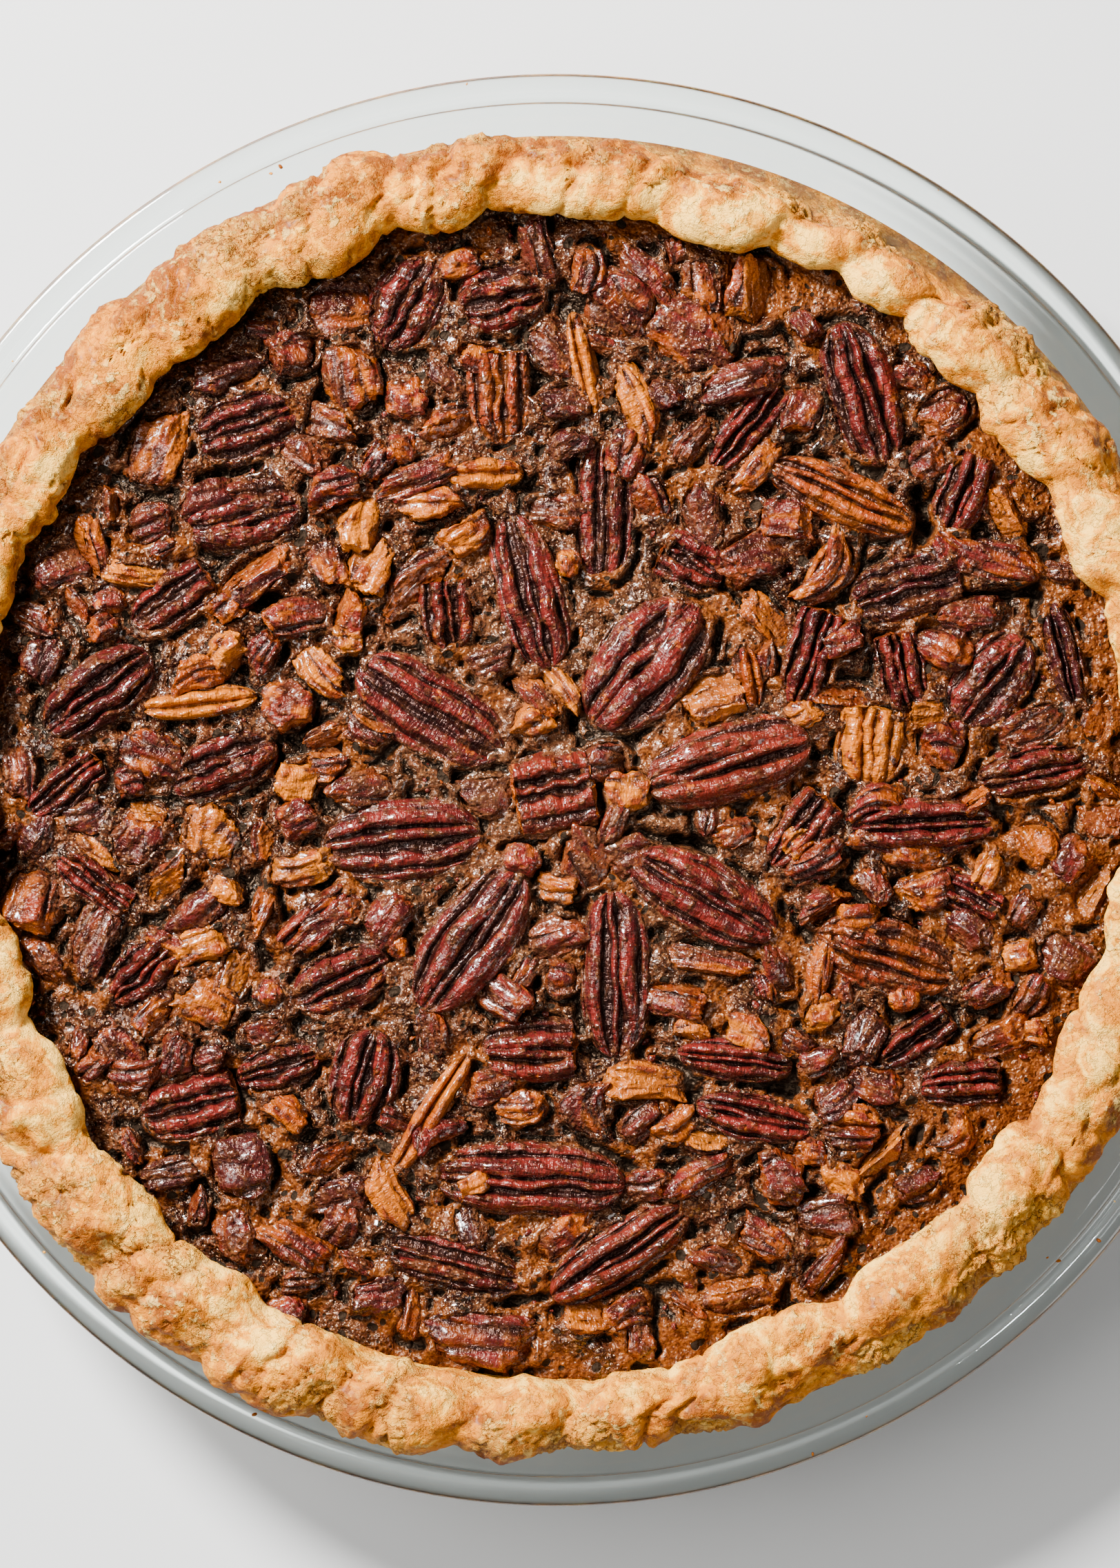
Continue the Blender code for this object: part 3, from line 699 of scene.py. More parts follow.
def pecanBody(p, seed, bare):
    # a nut along x about its own widest line, in rings from end to end
    z = pecanSizes
    length, width, dome = p["length"], p["width"], p["top"] - p["base"]
    broken = pecanForms[p["kind"]]["broken"]
    lot = np.random.default_rng(seed)
    share = np.linspace(0, 1, z["along"])
    t = -np.cos(share * math.pi) * 0.998  # rings gather towards a whole tip
    if broken[1]:
        t = 1 - 2 * np.cos(share * math.pi / 2)
        t[0] = -0.998
    if broken[0]:
        t = 2 * share - 1
    closing = np.clip(1 - np.abs(t) ** lot.uniform(2.1, 2.6), 0, 1)
    cut = 1 - 0.09 * t * t
    uncapped = (broken[1] & (t > 0)) | broken[0]
    half = np.where(uncapped, cut, closing**0.5)[:, None]
    arch = np.where(uncapped, cut, closing**0.4)[:, None]
    along, turn = np.meshgrid(t, ringTurns(z["top"], z["under"]), indexing="ij")
    under = turn > math.pi
    uneven = noiseAt(columns(along * 1.7, np.sign(np.cos(turn)) * 3, seed * 2.3), 1.0, 2, 20)
    half = half * (1 + 0.08 * uneven)
    across = 0.35 * np.cos(turn) + 0.65 * (1 - turn / (math.pi / 2))
    across = np.where(under, np.cos(turn), across)
    roll = lot.uniform(-z["roll"], z["roll"])
    ridges = [(centre + lot.uniform(-0.06, 0.06), reach * lot.uniform(0.8, 1.14),
               level * lot.uniform(0.7 if abs(centre) < 0.1 else 0.82, 1.03))
              for centre, reach, level in backRidges]
    if p["kind"] == "sliver":
        roll, ridges = roll * 2, sliverRidges
    height, groove = crossSection(across * half**0.45, along, seed, roll, ridges)
    height = height * np.clip(1 - np.abs(across) ** 8, 0, 1) ** 0.5
    w = np.where(under, 0.5 * np.sin(turn) * arch, height * arch) * dome
    groove = np.where(under, 0, groove) * rise(arch, 0.35, 0.8)
    u, v = along * length / 2, across * half * width / 2
    lie = columns(u, across * width / 2, seed * 13.7)

    # wrinkles across the ridges, finer ones, and a few thin cracks, which also get painted shade
    top = np.where(under, 0, rise(height, 0.1, 0.4)) * rise(arch, 0.1, 0.5)
    wrinkle = noiseAt(columns(u, v * 0.45, seed * 5.3), 2.0, 3, 23) * z["wrinkle"]
    fine = noiseAt(columns(u, v, seed * 2.9), 0.85, 2, 24) * z["fine"]
    wander = noiseAt(columns(v, seed * 1.9, 0 * u), 3.0, 2, 26) * 1.2
    crack = dent(noiseAt(columns(u + wander, v * 0.12, seed * 7.7), 3.6, 1, 27), 0.035)
    crack = crack * rise(noiseAt(columns(u, v, seed * 3.3), 5.0, 2, 28), 0.05, 0.3)
    w = w + top * (wrinkle + fine - crack * z["crack"])
    groove = np.clip(groove + crack * top * 0.55, 0, 1)
    flesh = bare * rise(noiseAt(lie, 4.0, 3, 26), 0.35 - bare, 0.55 - bare)
    w = w + along * length / 2 * math.tan(math.radians(lot.uniform(-z["tilt"], z["tilt"])))
    return columns(u, v, w), lie, groove, flesh, broken


def brokenEnd(row, seed, outwards):
    # rings that shrink to the middle of a break, rough and pale
    middle, rings = row.mean(0), []
    for share in pecanSizes["breakRings"]:
        ring = middle + (row - middle) * share
        ring[:, 0] += outwards * (noiseAt(ring + seed * 3.3, 1.6, 3, 31) * 0.6 + 0.6 * (1 - share))
        rings.append(ring)
    return rings


def coverWithFilm(world, above, cover, flesh):
    # filling clings to the flanks and lies in patches over the top
    cling = 1 - rise(above + noiseAt(world, 2.2, 3, 33) * 2.0, 0.7, 1.8)
    patches = rise(noiseAt(world, 3.6, 3, 34) + (cover - 0.5) * 1.5, -0.06, 0.06)
    specks = rise(noiseAt(world, 1.2, 2, 36) + (cover - 0.5) * 0.5, 0.08, 0.16)
    film = np.maximum(cling, np.maximum(patches, specks * 0.8) * (1 - 0.4 * flesh))
    puffed = world.copy()
    puffed[..., 2] += film * (0.12 + 0.2 * np.abs(noiseAt(world, 0.9, 2, 35)))
    return puffed, film


def makePecan(p, seed):
    tone, bare, cover = ownLooks.get(p["name"], usualLooks[p["kind"]])
    spots, lie, groove, flesh, broken = pecanBody(p, seed, bare)
    around = spots.shape[1]
    rows, lies, grooves, fleshes = list(spots), list(lie), list(groove), list(flesh)
    shares = pecanSizes["breakRings"]
    none, full = [np.zeros(around)] * len(shares), [np.ones(around)] * len(shares)
    if broken[1]:
        rows, lies = rows + brokenEnd(rows[-1], seed, 1), lies + [lies[-1] * share + 3 for share in shares]
        grooves, fleshes = grooves + none, fleshes + full
    if broken[0]:
        rows = brokenEnd(rows[0], seed, -1)[::-1] + rows
        lies = [lies[0] * share + 3 for share in shares][::-1] + lies
        grooves, fleshes = none + grooves, full + fleshes
    local = np.vstack(rows + [[rows[0].mean(0), rows[-1].mean(0)]])
    lies = np.vstack(lies + [[lies[0].mean(0), lies[-1].mean(0)]])
    groove = np.concatenate(grooves + [[0, 0]])
    flesh = np.concatenate(fleshes + [[float(broken[0]), float(broken[1])]])
    world = turnedTo(local, p)
    world[:, 2] += p["base"]
    world, film = coverWithFilm(world, local[:, 2], cover, flesh)
    tone = tone + np.random.default_rng(seed + 500).uniform(-0.14, 0.14)
    name = p["name"].replace("_", "")
    piece = newPiece(name, world, closedFaces(len(rows), around), pecanSkin, lies,
                     groove=groove, flesh=flesh, film=film, tone=tone)
    stow(piece, "pecan_flesh" if p["kind"] == "sliver" else "pecan_skin", p["name"])


pecans = [readPecan(name) for name in sorted(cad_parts)
          if name.startswith("pecan_") and name.split("_")[1] in pecanForms]
for index, p in enumerate(pecans):
    makePecan(p, index + 1)
print("pecans set:", len(pecans))


# chopped bits between the nuts
bitSizes = {
    "fine": (24, 23, 7), "coarse": (20, 20, 6),  # rings, points across the top and beneath
    "thick": (4.0, 5.8), "tries": 6000, "most": 100, "smallest": 5.4, "largest": 15.0, "within": 97.0,
    "grow": 1.12, "growFlesh": 1.25, "bareSpots": ((66, -62, 20), (12, -80, 9)),  # x, y and radius
}
looseShares = {"skin": 0.48, "dark": 0.36, "flesh": 0.02, "split": 0.13, "nub": 0.01}  # of the loose bits
bitLooks = {  # tone, flesh all over, ends cut off, sides cut off, bend, share of filling over it
    "skin": (0.42, 0.0, 2, 1, 0.12, 0.2), "dark": (0.22, 0.0, 2, 1, 0.12, 0.26),
    "flesh": (0.8, 0.7, 2, 2, 0.3, 0.12), "split": (0.65, 0.0, 2, 2, 0.15, 0.18),
    "nub": (0.6, 0.35, 0, 0, 0.0, 0.14), "curl": (0.5, 0.15, 1, 0, 0.85, 0.12),
}
bitPlaces = {  # x, y, length, width and turn of the bits that stand out
    "skin": (
        (-44, 73, 10, 7, 10), (-34, 69, 12, 8, 100), (-44.7, 14, 8, 8, 80), (-43.3, 28.8, 12, 6, 10),
        (-37, 50, 9, 7, 20), (-23, 52, 14, 5, 25), (23, 76, 14, 10, 0), (15, 86, 13, 5, -40),
        (30, 68, 14, 6, 20), (38, 45, 9, 7, 0), (65, 7, 8, 8, 0), (33, 39.5, 12, 8, 20),
        (-42.9, -4.8, 7, 6, 30), (-48.9, 23.2, 7, 5, 60), (-31.7, 10.1, 8, 5, -35), (-38.7, 3.6, 8, 6, 0),
        (-28, -21.6, 9, 6, 50), (-38.7, -22, 14, 5, 35), (-12, -92, 18, 9, -5), (-43, -76, 13, 6, -30),
        (24.7, -64.4, 14, 5, 30), (25, -29, 15, 4.5, -10), (37.3, -30.3, 9, 4, -65),
        (34.5, -32.7, 7, 3.4, -65), (45, -80, 13, 4, 50), (12, -87, 8, 6, 20), (53, -49, 11, 6, -10),
        (46, -52, 8, 6, 30), (4.8, -11.7, 10, 8, -50), (29.8, -7.5, 7, 5, 20), (52.7, -7.9, 9, 4, 0),
        (59.7, -9.3, 12, 7, -10), (43.3, -11.7, 10, 6, 30), (68.5, -23.3, 8, 6, -40),
        (62, -16.3, 10, 6, 20), (-74.6, 32, 6, 5, 0), (-76, 27.4, 6, 4, 30), (-71.3, 1.3, 5, 5, 0),
        (-3.2, 15.5, 9, 4, -50), (0.8, -31.5, 6, 6, 0), (12, 56, 9, 6, 70), (48, 25, 8, 6, 20),
        (66, 40, 8, 5, -30), (-68, 44, 9, 6, 30), (-12, 72, 9, 6, -20), (-30, 55, 8, 5, 60),
        (60, -66, 8, 5, 20), (-30, -84, 9, 6, 15), (34, -75, 9, 6, -30), (-63, -44, 8, 5, 80),
        (72, -33, 8, 5, 30), (15, -66, 8, 5, 10), (-52.7, 3.6, 6, 4, 20)),
    "dark": (
        (5, 87, 8, 6, 90), (74, 38, 14, 6, -10), (-53, -63, 10, 10, 0), (12.1, -11.1, 8, 6, 20),
        (-0.3, -24.7, 10, 7, 30), (37.7, -64.4, 8, 8, 0), (-35.5, -20, 8, 5, 0), (62, 55, 8, 6, 40),
        (-58, 48, 10, 7, 20), (-46, -88, 9, 6, 30), (86, -12, 8, 6, 60), (48.9, -58, 10, 5, 0),
        (-86, 22, 8, 6, 70), (16, 49, 8, 6, -60), (-70, -48, 9, 6, 10)),
    "flesh": (
        (-32.6, 44.5, 9, 6, 80), (-31.5, 37.6, 11, 7, 65), (-21, 47, 9, 5, 10), (-15.6, 42.7, 8, 5, 30),
        (-39.1, 19.9, 9, 4.5, -45), (-54.8, 30.3, 6, 5, 40), (-54.8, 22.9, 7, 5, 50),
        (-60, 19.5, 8, 4.5, 20), (13, 64, 13, 5, 115), (33.5, 54, 10, 4, 50), (-70.4, 35.8, 9, 4, -5),
        (-34.5, 25.5, 5, 5, 0), (-57.3, -7.1, 9, 8, 70), (-76.5, -10.4, 7.5, 3.4, -35),
        (-43.3, -13.2, 10, 5, 10), (-49, -20.2, 8, 3.4, 70), (-59.2, -26.3, 9, 5, 20),
        (-58, -36, 9, 6, -20), (-43.3, 1.7, 7, 6, 0), (-55, -17, 5, 4, 0), (-6, -53, 7, 5, 10),
        (-28, -68, 11, 5, -60), (14, -49, 12, 6, 0), (44.3, -37.3, 6, 5, 20), (43.8, -30.3, 12, 3, 85),
        (31.7, -40.6, 8, 5, -20), (22.3, -39.7, 5, 4, 0), (80.2, -8.9, 8, 6, -50), (71.8, -13.5, 7, 4, 60),
        (77.4, -27.5, 6, 5, 0), (48.9, -54.5, 9, 4, 0), (42.4, -61.1, 6, 5, 0), (48, -65.3, 5, 6, 60),
        (1.4, 17.2, 9, 3.2, -50), (-4.3, 11.6, 6, 5, 30), (12.1, -0.3, 7, 6, 0), (0.8, -16.2, 7, 4, -10),
        (40.5, -9.1, 6, 4.4, 35), (50.3, -22.4, 8, 6, 0), (79.7, -40.6, 5, 4, 0), (41, 12, 6, 4, 30),
        (20, -56, 7, 4, 40), (-14, -66, 6, 4, 20), (-45, -54, 7, 4, -40)),
    "split": (
        (-50.3, 36.3, 15, 7, 33), (-23, 35, 14, 7, 40), (-34.9, 29.7, 8, 6, 60), (33, 83, 12, 9, 90),
        (75, 46, 10, 6, -60), (35.4, 28, 12, 5, -50), (-68, -3.9, 6, 4, 0), (-65.3, -16, 11, 5, 45),
        (-64.8, -26.7, 10, 5, -30), (6, -88, 9, 6, 0), (54, -61, 12, 5, 45), (45.2, -19.6, 9, 6, 30),
        (69, -1.9, 7, 5, 30), (24.7, -58.3, 8, 4, -10), (-38, -62, 9, 5, 30), (62, 13, 7, 5, 0)),
    "nub": (
        (-25, 65, 6, 6, 0), (-6, -11.7, 5.5, 4.6, 0), (-26.4, -26.4, 3.4, 3.2, 0), (-26, 57, 5, 4.4, 0),
        (2, 38, 4, 4, 0), (58, -35, 4.5, 4, 0), (-48, -34, 4.4, 4, 0), (20, 30, 4, 3.6, 0)),
    "curl": (
        (46, 37, 12, 6, 60), (5, -53, 9, 7, 90), (53.6, -2.3, 9, 5, 0), (-20, -57, 9, 5, 30),
        (67, -58, 8, 5, 50)),
}


def makeBall(rings, top, under):
    # a ball of rings along x, with most of its points on the upper side
    polar = 0.16
    t = -np.cos(np.linspace(polar, math.pi - polar, rings))
    turns = ringTurns(top, under)
    along, turn = np.meshgrid(t, turns, indexing="ij")
    radius = np.sqrt(1 - along * along)
    skin = columns(along, np.cos(turn) * radius, np.sin(turn) * radius).reshape(-1, 3)
    return np.vstack([skin, [[-1, 0, 0], [1, 0, 0]]]), closedFaces(rings, len(turns))


crumbBall = makeBall(5, 6, 4)
balls = {level: makeBall(*bitSizes[level]) for level in ("coarse", "fine")}


def choppedBit(kind, level, size, seed):
    # a nut's back with its grooves, which get painted shade, cut by a few planes; the cuts show flesh
    tone, bare, ends, sides, bend, cover = bitLooks[kind]
    lot = np.random.default_rng(seed)
    points, faces = balls[level]
    p = np.sign(points) * np.abs(points) ** 0.84
    across, up = p[:, 1], p[:, 2]
    groove = np.zeros(len(p))
    for line in (-0.5, 0.0, 0.5) if kind != "nub" else ():
        wander = 0.16 * np.sin(p[:, 0] * lot.uniform(1, 3) + lot.uniform(0, 6))
        line = line + lot.uniform(-0.2, 0.2)
        groove = np.maximum(groove, dent(across - line - wander, 0.13) * lot.uniform(0.2, 1))
    groove = groove * rise(up, 0.0, 0.5)
    p[:, 2] = up * (1 - 0.55 * groove)
    p = p * (1 + 0.22 * noiseAt(p + seed * 0.61, 0.9, 1, 50))[:, None]
    flesh = rise(noiseAt(p + seed * 0.43, 0.8, 2, 53) + bare * 0.75, 0.3, 0.42)

    # each cut is a plane's slant and its distance from the middle
    cuts = []
    for k in range(ends):
        slant = (1 - 2 * (k % 2), lot.uniform(-0.6, 0.6), lot.uniform(-0.3, 0.5))
        cuts.append((slant, lot.uniform(0.6, 0.85)))
    for k in range(lot.integers(0, sides + 1)):
        slant = (lot.uniform(-0.5, 0.5), 1 - 2 * lot.integers(0, 2), lot.uniform(-0.2, 0.6))
        cuts.append((slant, lot.uniform(0.6, 0.85)))
    if kind == "split":
        slant = (lot.uniform(-0.2, 0.2), 1 - 2 * lot.integers(0, 2), 0.9)
        cuts.append((slant, lot.uniform(0.15, 0.35)))
    for slant, depth in cuts:
        slant = unit(slant)
        over = p @ slant - depth - 0.1 * noiseAt(p, 0.5, 2, seed % 97)
        p -= slant * np.clip(over, 0, None)[:, None]
        flesh = np.maximum(flesh, rise(over, -0.02, 0.05))
        groove = groove * rise(-over, -0.05, 0.02)
    rough = noiseAt(p + seed * 0.37, 0.6, 2, 51) * 0.15
    rough = rough + noiseAt(p + seed * 0.37, 0.25, 2, 52) * (0.06 + 0.06 * flesh)
    p = p * (1 + rough)[:, None]
    p[:, 1] += bend * lot.choice([-1, 1]) * (p[:, 0] ** 2 - 0.35)
    local = p * (np.array(size) / 2)
    x, y, z = local.T
    lean, tip = np.radians(lot.normal(0, 14, 2))
    y, z = y * math.cos(lean) - z * math.sin(lean), y * math.sin(lean) + z * math.cos(lean)
    x, z = x * math.cos(tip) + z * math.sin(tip), z * math.cos(tip) - x * math.sin(tip)
    tone = np.full(len(p), tone + lot.uniform(-0.25, 0.25))
    return columns(x, y, z), faces, local + seed * 13.7, groove, flesh, tone, cover


fillingSizes = {  # below holds the side: a share of the radius, and a height
    "pitch": 0.58, "radius": 98.6, "level": 33.9, "crown": 1.5, "pinholes": 700, "edge": 0.3,
    "below": ((1.0, 30.0), (1.0, 24.6), (0.846, 9.0), (0.3, 9.0)),
}


def fillingLevel(x, y):
    z = fillingSizes
    return z["level"] + z["crown"] * (1 - (x * x + y * y) / z["radius"] ** 2)


def makeBit(item, seed):
    kind, length, width = item["kind"], item["length"], item["width"]
    lot = np.random.default_rng(seed + 9000)
    size = (length, width, lot.uniform(*bitSizes["thick"]) * min(1.0, 0.45 + width / 9))
    local, faces, lie, groove, flesh, tone, cover = choppedBit(kind, item["level"], size, seed)
    world = turnedTo(local, item)
    sunk = item.get("sunk", lot.uniform(0.16, 0.38))
    level = fillingLevel(item["x"], item["y"])
    world[:, 2] += level + size[2] * (0.3 - sunk)
    above = world[:, 2] - level - 0.2
    world, film = coverWithFilm(world, above, cover + item.get("film", 0), flesh)
    return {"points": world, "faces": faces, "lie": lie, "groove": groove, "flesh": flesh, "film": film,
            "tone": tone}


def beyond(dx, dy, turn, length, width):
    # how far a place is from a nut's outline, below 0 inside it
    c, s, a, b = np.cos(turn), np.sin(turn), length / 2, width / 2
    scaled = (np.abs((dx * c + dy * s) / a) ** 2.4 + np.abs((dy * c - dx * s) / b) ** 2.4) ** (1 / 2.4)
    return (scaled - 1) * np.minimum(a, b)


def clearance(x, y, items):
    # how far each place is from the nearest nut, looked for within reach of it
    clear, reach = np.full(np.shape(x), 9.0), 22
    for p in items:
        near = (np.abs(x - p["x"]) < reach) & (np.abs(y - p["y"]) < reach)
        away = beyond(x[near] - p["x"], y[near] - p["y"], p["turn"], p["length"], p["width"])
        clear[near] = np.minimum(clear[near], away)
    return clear


def placeBits():
    z = bitSizes
    items = []
    for kind, places in bitPlaces.items():
        grow = z["growFlesh"] if kind == "flesh" else z["grow"]
        items += [{"kind": kind, "x": x, "y": y, "length": length * grow, "width": width * grow,
                   "turn": math.radians(turn), "level": "fine"} for x, y, length, width, turn in places]

    # smaller ones fill the room that is left, mostly sunk
    lot = np.random.default_rng(404)
    keys = ("x", "y", "turn", "length", "width")
    table = np.array([[item[key] for key in keys] for item in pecans + items])
    loose = []
    for k in range(z["tries"]):
        radius, angle = 95 * math.sqrt(lot.uniform()), lot.uniform(0, math.tau)
        x, y = radius * math.cos(angle), radius * math.sin(angle)
        length = z["smallest"] + (z["largest"] - z["smallest"]) * (1 - k / z["tries"]) ** 2
        if any(math.hypot(x - spotX, y - spotY) < spot for spotX, spotY, spot in z["bareSpots"]):
            continue  # bare filling shows here
        width = length * lot.uniform(0.45, 0.8)
        kind = lot.choice(list(looseShares), p=list(looseShares.values()))
        turn = lot.uniform(0, math.pi)
        room = beyond(x - table[:, 0], y - table[:, 1], *table[:, 2:].T).min()
        if room > width * 0.3 and radius + length / 2 < z["within"]:
            loose.append({"kind": kind, "x": x, "y": y, "length": length, "width": width, "turn": turn,
                          "level": "coarse", "sunk": lot.uniform(0.2, 0.5), "film": lot.uniform(0.0, 0.3)})
            table = np.vstack([table, [x, y, turn, length, width]])
        if len(loose) >= z["most"]:
            break
    return items, loose


bits, looseBits = placeBits()
print("bits placed:", len(bits), len(looseBits))
for name, slot, kinds in (("choppedPecans", "pecan_skin", ("skin", "dark", "curl")),
                          ("splitPecans", "pecan_skin", ("split", "nub")),
                          ("amberChips", "pecan_flesh", ("flesh",))):
    bodies = [makeBit(item, 2000 + k) for k, item in enumerate(bits + looseBits) if item["kind"] in kinds]
    stow(joinedPiece(name, bodies, pecanSkin), slot)
print("bits chopped")

# the filling, one sheet with its side and bottom
crevices = (  # from x, y to x, y, with width and depth
    (-39, 66, -42, 56, 1.6, 3.0), (-60, 52, -50, 54, 1.2, 2.5), (-58, 42, -54, 44, 1.0, 2.2),
    (60, 50, 62, 44, 1.5, 3.0), (70, 32, 80, 33, 1.2, 2.5), (48, -17, 54, -20, 1.8, 3.2),
    (54, -20, 61, -25, 1.2, 3.0), (20, -8, 26, -10, 1.0, 2.5), (9, 4, 17, 0, 1.2, 3.0),
    (-10, -86, -2, -85, 1.0, 2.4), (-39, -75, -37, -68, 1.0, 2.6), (-45, -22, -47, -14, 1.0, 2.4),
    (-47, 7, -45, -3, 1.2, 2.8), (-8, 18, 0, 12, 0.9, 2.5), (2, 13, 4, 8, 0.9, 2.4),
    (26, 36, 31, 31, 1.0, 2.6), (48, -49, 56, -52, 1.0, 2.4), (31, -49, 40, -50, 1.0, 2.4),
    (50, -56, 53, -57, 1.4, 3.0), (-31, 27, -36, 24, 1.0, 2.6), (-49, 32, -42, 31, 1.4, 2.8),
    (-64, -30, -66, -24, 1.0, 2.4), (-36, -49, -33, -56, 0.9, 2.2), (2, 56, 5, 50, 1.2, 2.6),
    (40, 56, 45, 52, 1.0, 2.4), (64, -42, 60, -37, 1.2, 2.6), (-80, -12, -74, -14, 0.9, 2.2),
    (12, -38, 14, -44, 0.9, 2.2),
)


def pinholeDents(x, y, n):
    # hollows left by small bubbles, each a place in the grid and how deep it is there
    z = fillingSizes
    lot = np.random.default_rng(77)
    for _ in range(z["pinholes"]):
        radius, turn = 97 * math.sqrt(lot.uniform()), lot.uniform(0, math.tau)
        px, py, size = radius * math.cos(turn), radius * math.sin(turn), 0.35 + 0.7 * lot.uniform() ** 3
        near = tuple(slice(max(k - 4, 0), k + 5) for k in (int(p / z["pitch"]) + n for p in (px, py)))
        yield near, size, dent(np.hypot(x[near] - px, y[near] - py), size)


def fillingSurface():
    # height over a square grid, with how deep in a gap each place is, which paints shade there, and how warm
    # in colour it is
    z = fillingSizes
    n = int(z["radius"] / z["pitch"]) + 2
    axis = np.arange(-n, n + 1) * z["pitch"]
    x, y = np.meshgrid(axis, axis, indexing="ij")
    radius = np.hypot(x, y)
    flat = columns(x, y, 0 * x)
    level = fillingLevel(x, y)
    height = level + noiseAt(flat, 14.0, 2, 41) * 0.6 + noiseAt(flat, 5.0, 2, 42) * 0.65
    ripple = noiseAt(flat, 2.3, 2, 43)
    height = height + ripple * 0.14 + np.abs(noiseAt(flat, 1.2, 2, 44)) * 0.14
    clear = clearance(x, y, pecans + bits + looseBits) + noiseAt(flat, 2.6, 2, 45) * 0.4
    height = height + np.exp(-np.clip(clear, 0, 9)) * (0.75 + 1.4 * noiseAt(flat, 3.5, 2, 46))
    height = height + noiseAt(flat, 0.9, 2, 49) * 0.12

    # gaps where it has shrunk away from a nut, cracks, and pinholes, all sunk and marked for painted shade
    gap = dent(clear - 0.45, 0.7) * rise(noiseAt(flat, 5.0, 2, 47), 0.0, 0.2)
    deep = gap.copy()
    height = height - gap * 2.2
    for x0, y0, x1, y1, width, depth in crevices:
        dx, dy = x1 - x0, y1 - y0
        along = np.clip(((x - x0) * dx + (y - y0) * dy) / (dx**2 + dy**2), 0, 1)
        away = np.hypot(x - x0 - along * dx, y - y0 - along * dy) + ripple * 0.7
        crevice = 1 - rise(away, width * 0.45, width * 1.1)
        height = height - crevice * depth
        deep = np.maximum(deep, crevice)
    for near, size, hole in pinholeDents(x, y, n):
        height[near] -= hole * size * 2.0
        deep[near] = np.maximum(deep[near], hole)

    # warmer towards one side and the rim, sunk at the edge with some painted shade there, and flat under
    # each nut
    warmth = noiseAt(flat, 11.0, 3, 48) + 0.3 * (x - y) / 98 + 0.3 * rise(radius, 70, 98)
    edge = rise(radius, 92, 97.5)
    height = height - edge * 0.6 + edge * ripple * 0.5
    deep = np.maximum(deep, edge * 0.35)
    hidden = rise(-clear, 0.5, 1.6)
    height = height * (1 - hidden) + (level - 1.6) * hidden
    return x, y, height, clear, deep, rise(warmth, 0.05, 0.45)


def outlineOf(quads):
    # the corners round the edge of a sheet of quads, in order
    sides = np.concatenate([quads[:, [k, (k + 1) % 4]] for k in range(4)]).tolist()
    known = {tuple(side) for side in sides}
    following = {a: b for a, b in known if (b, a) not in known}
    loop = [next(iter(following))]
    while following[loop[-1]] != loop[0]:
        loop.append(following[loop[-1]])
    return np.array(loop)


def makeFillingPiece():
    z = fillingSizes
    x, y, height, clear, deep, warm = fillingSurface()
    inside = np.hypot(x, y) < z["radius"] - z["pitch"] * 0.3
    number = np.full(x.shape, -1)
    number[inside] = np.arange(inside.sum())
    corners = np.stack([number[:-1, :-1], number[1:, :-1], number[1:, 1:], number[:-1, 1:]], -1)
    quads = corners[(corners >= 0).all(-1)]
    used = np.unique(quads)
    renumber = np.full(inside.sum(), -1)
    renumber[used] = np.arange(len(used))
    quads = renumber[quads]
    points, deep, warm = (values[inside][used] for values in (columns(x, y, height), deep, warm))

    # the outermost points move out onto a true circle, and the side drops from them
    loop = outlineOf(quads)
    points[loop, :2] *= ((z["radius"] + z["edge"]) / np.hypot(points[loop, 0], points[loop, 1]))[:, None]
    top, faces, upper, rings = len(points), quads.tolist(), loop, []
    beside = np.roll(np.arange(len(loop)), -1)
    for share, ringHeight in z["below"]:
        rings.append(points[loop] * (share, share, 0) + (0, 0, ringHeight))
        lower = top + (len(rings) - 1) * len(loop) + np.arange(len(loop))
        faces += np.stack([lower, lower[beside], upper[beside], upper], -1).tolist()
        upper = lower
    points = np.vstack([points] + rings + [[[0, 0, z["below"][-1][1]]]])
    faces += [(upper[beside[i]], upper[i], len(points) - 1) for i in range(len(loop))]
    deep, warm = (np.pad(values, (0, len(points) - top)) for values in (deep, warm))
    piece = newPiece("pecanFilling", points, faces, caramelFilling, deep=deep, warm=warm)
    stow(piece, "caramel_filling", "pecan_filling")
    return x, y, height, clear


surface = makeFillingPiece()
print("filling poured")

# crumbs, scattered by geometry nodes
crumbKinds = {
    "nutCrumbs": {
        "material": pecanSkin, "slot": "pecan_skin", "shapes": 8, "cuts": 3, "squash": 0.55, "seed": 70,
        "marks": {"flesh": (0, 1, 0, 0), "tone": (0.55,), "toast": (0,)},
        "scatter": {"Density": 50000.0, "Gap": 1.8 * mm, "Smallest": 0.35, "Largest": 0.9, "Seed": 3},
    },
    "rimCrumbs": {
        "material": bakedPastry, "slot": "baked_pastry", "shapes": 6, "cuts": 2, "squash": 0.6, "seed": 90,
        "marks": {"flesh": (0,), "tone": (0.0,), "toast": (0.1, 0.5, 0.8)},
        "scatter": {"Density": 90000.0, "Gap": 1.2 * mm, "Smallest": 0.16, "Largest": 0.6, "Seed": 5},
    },
}


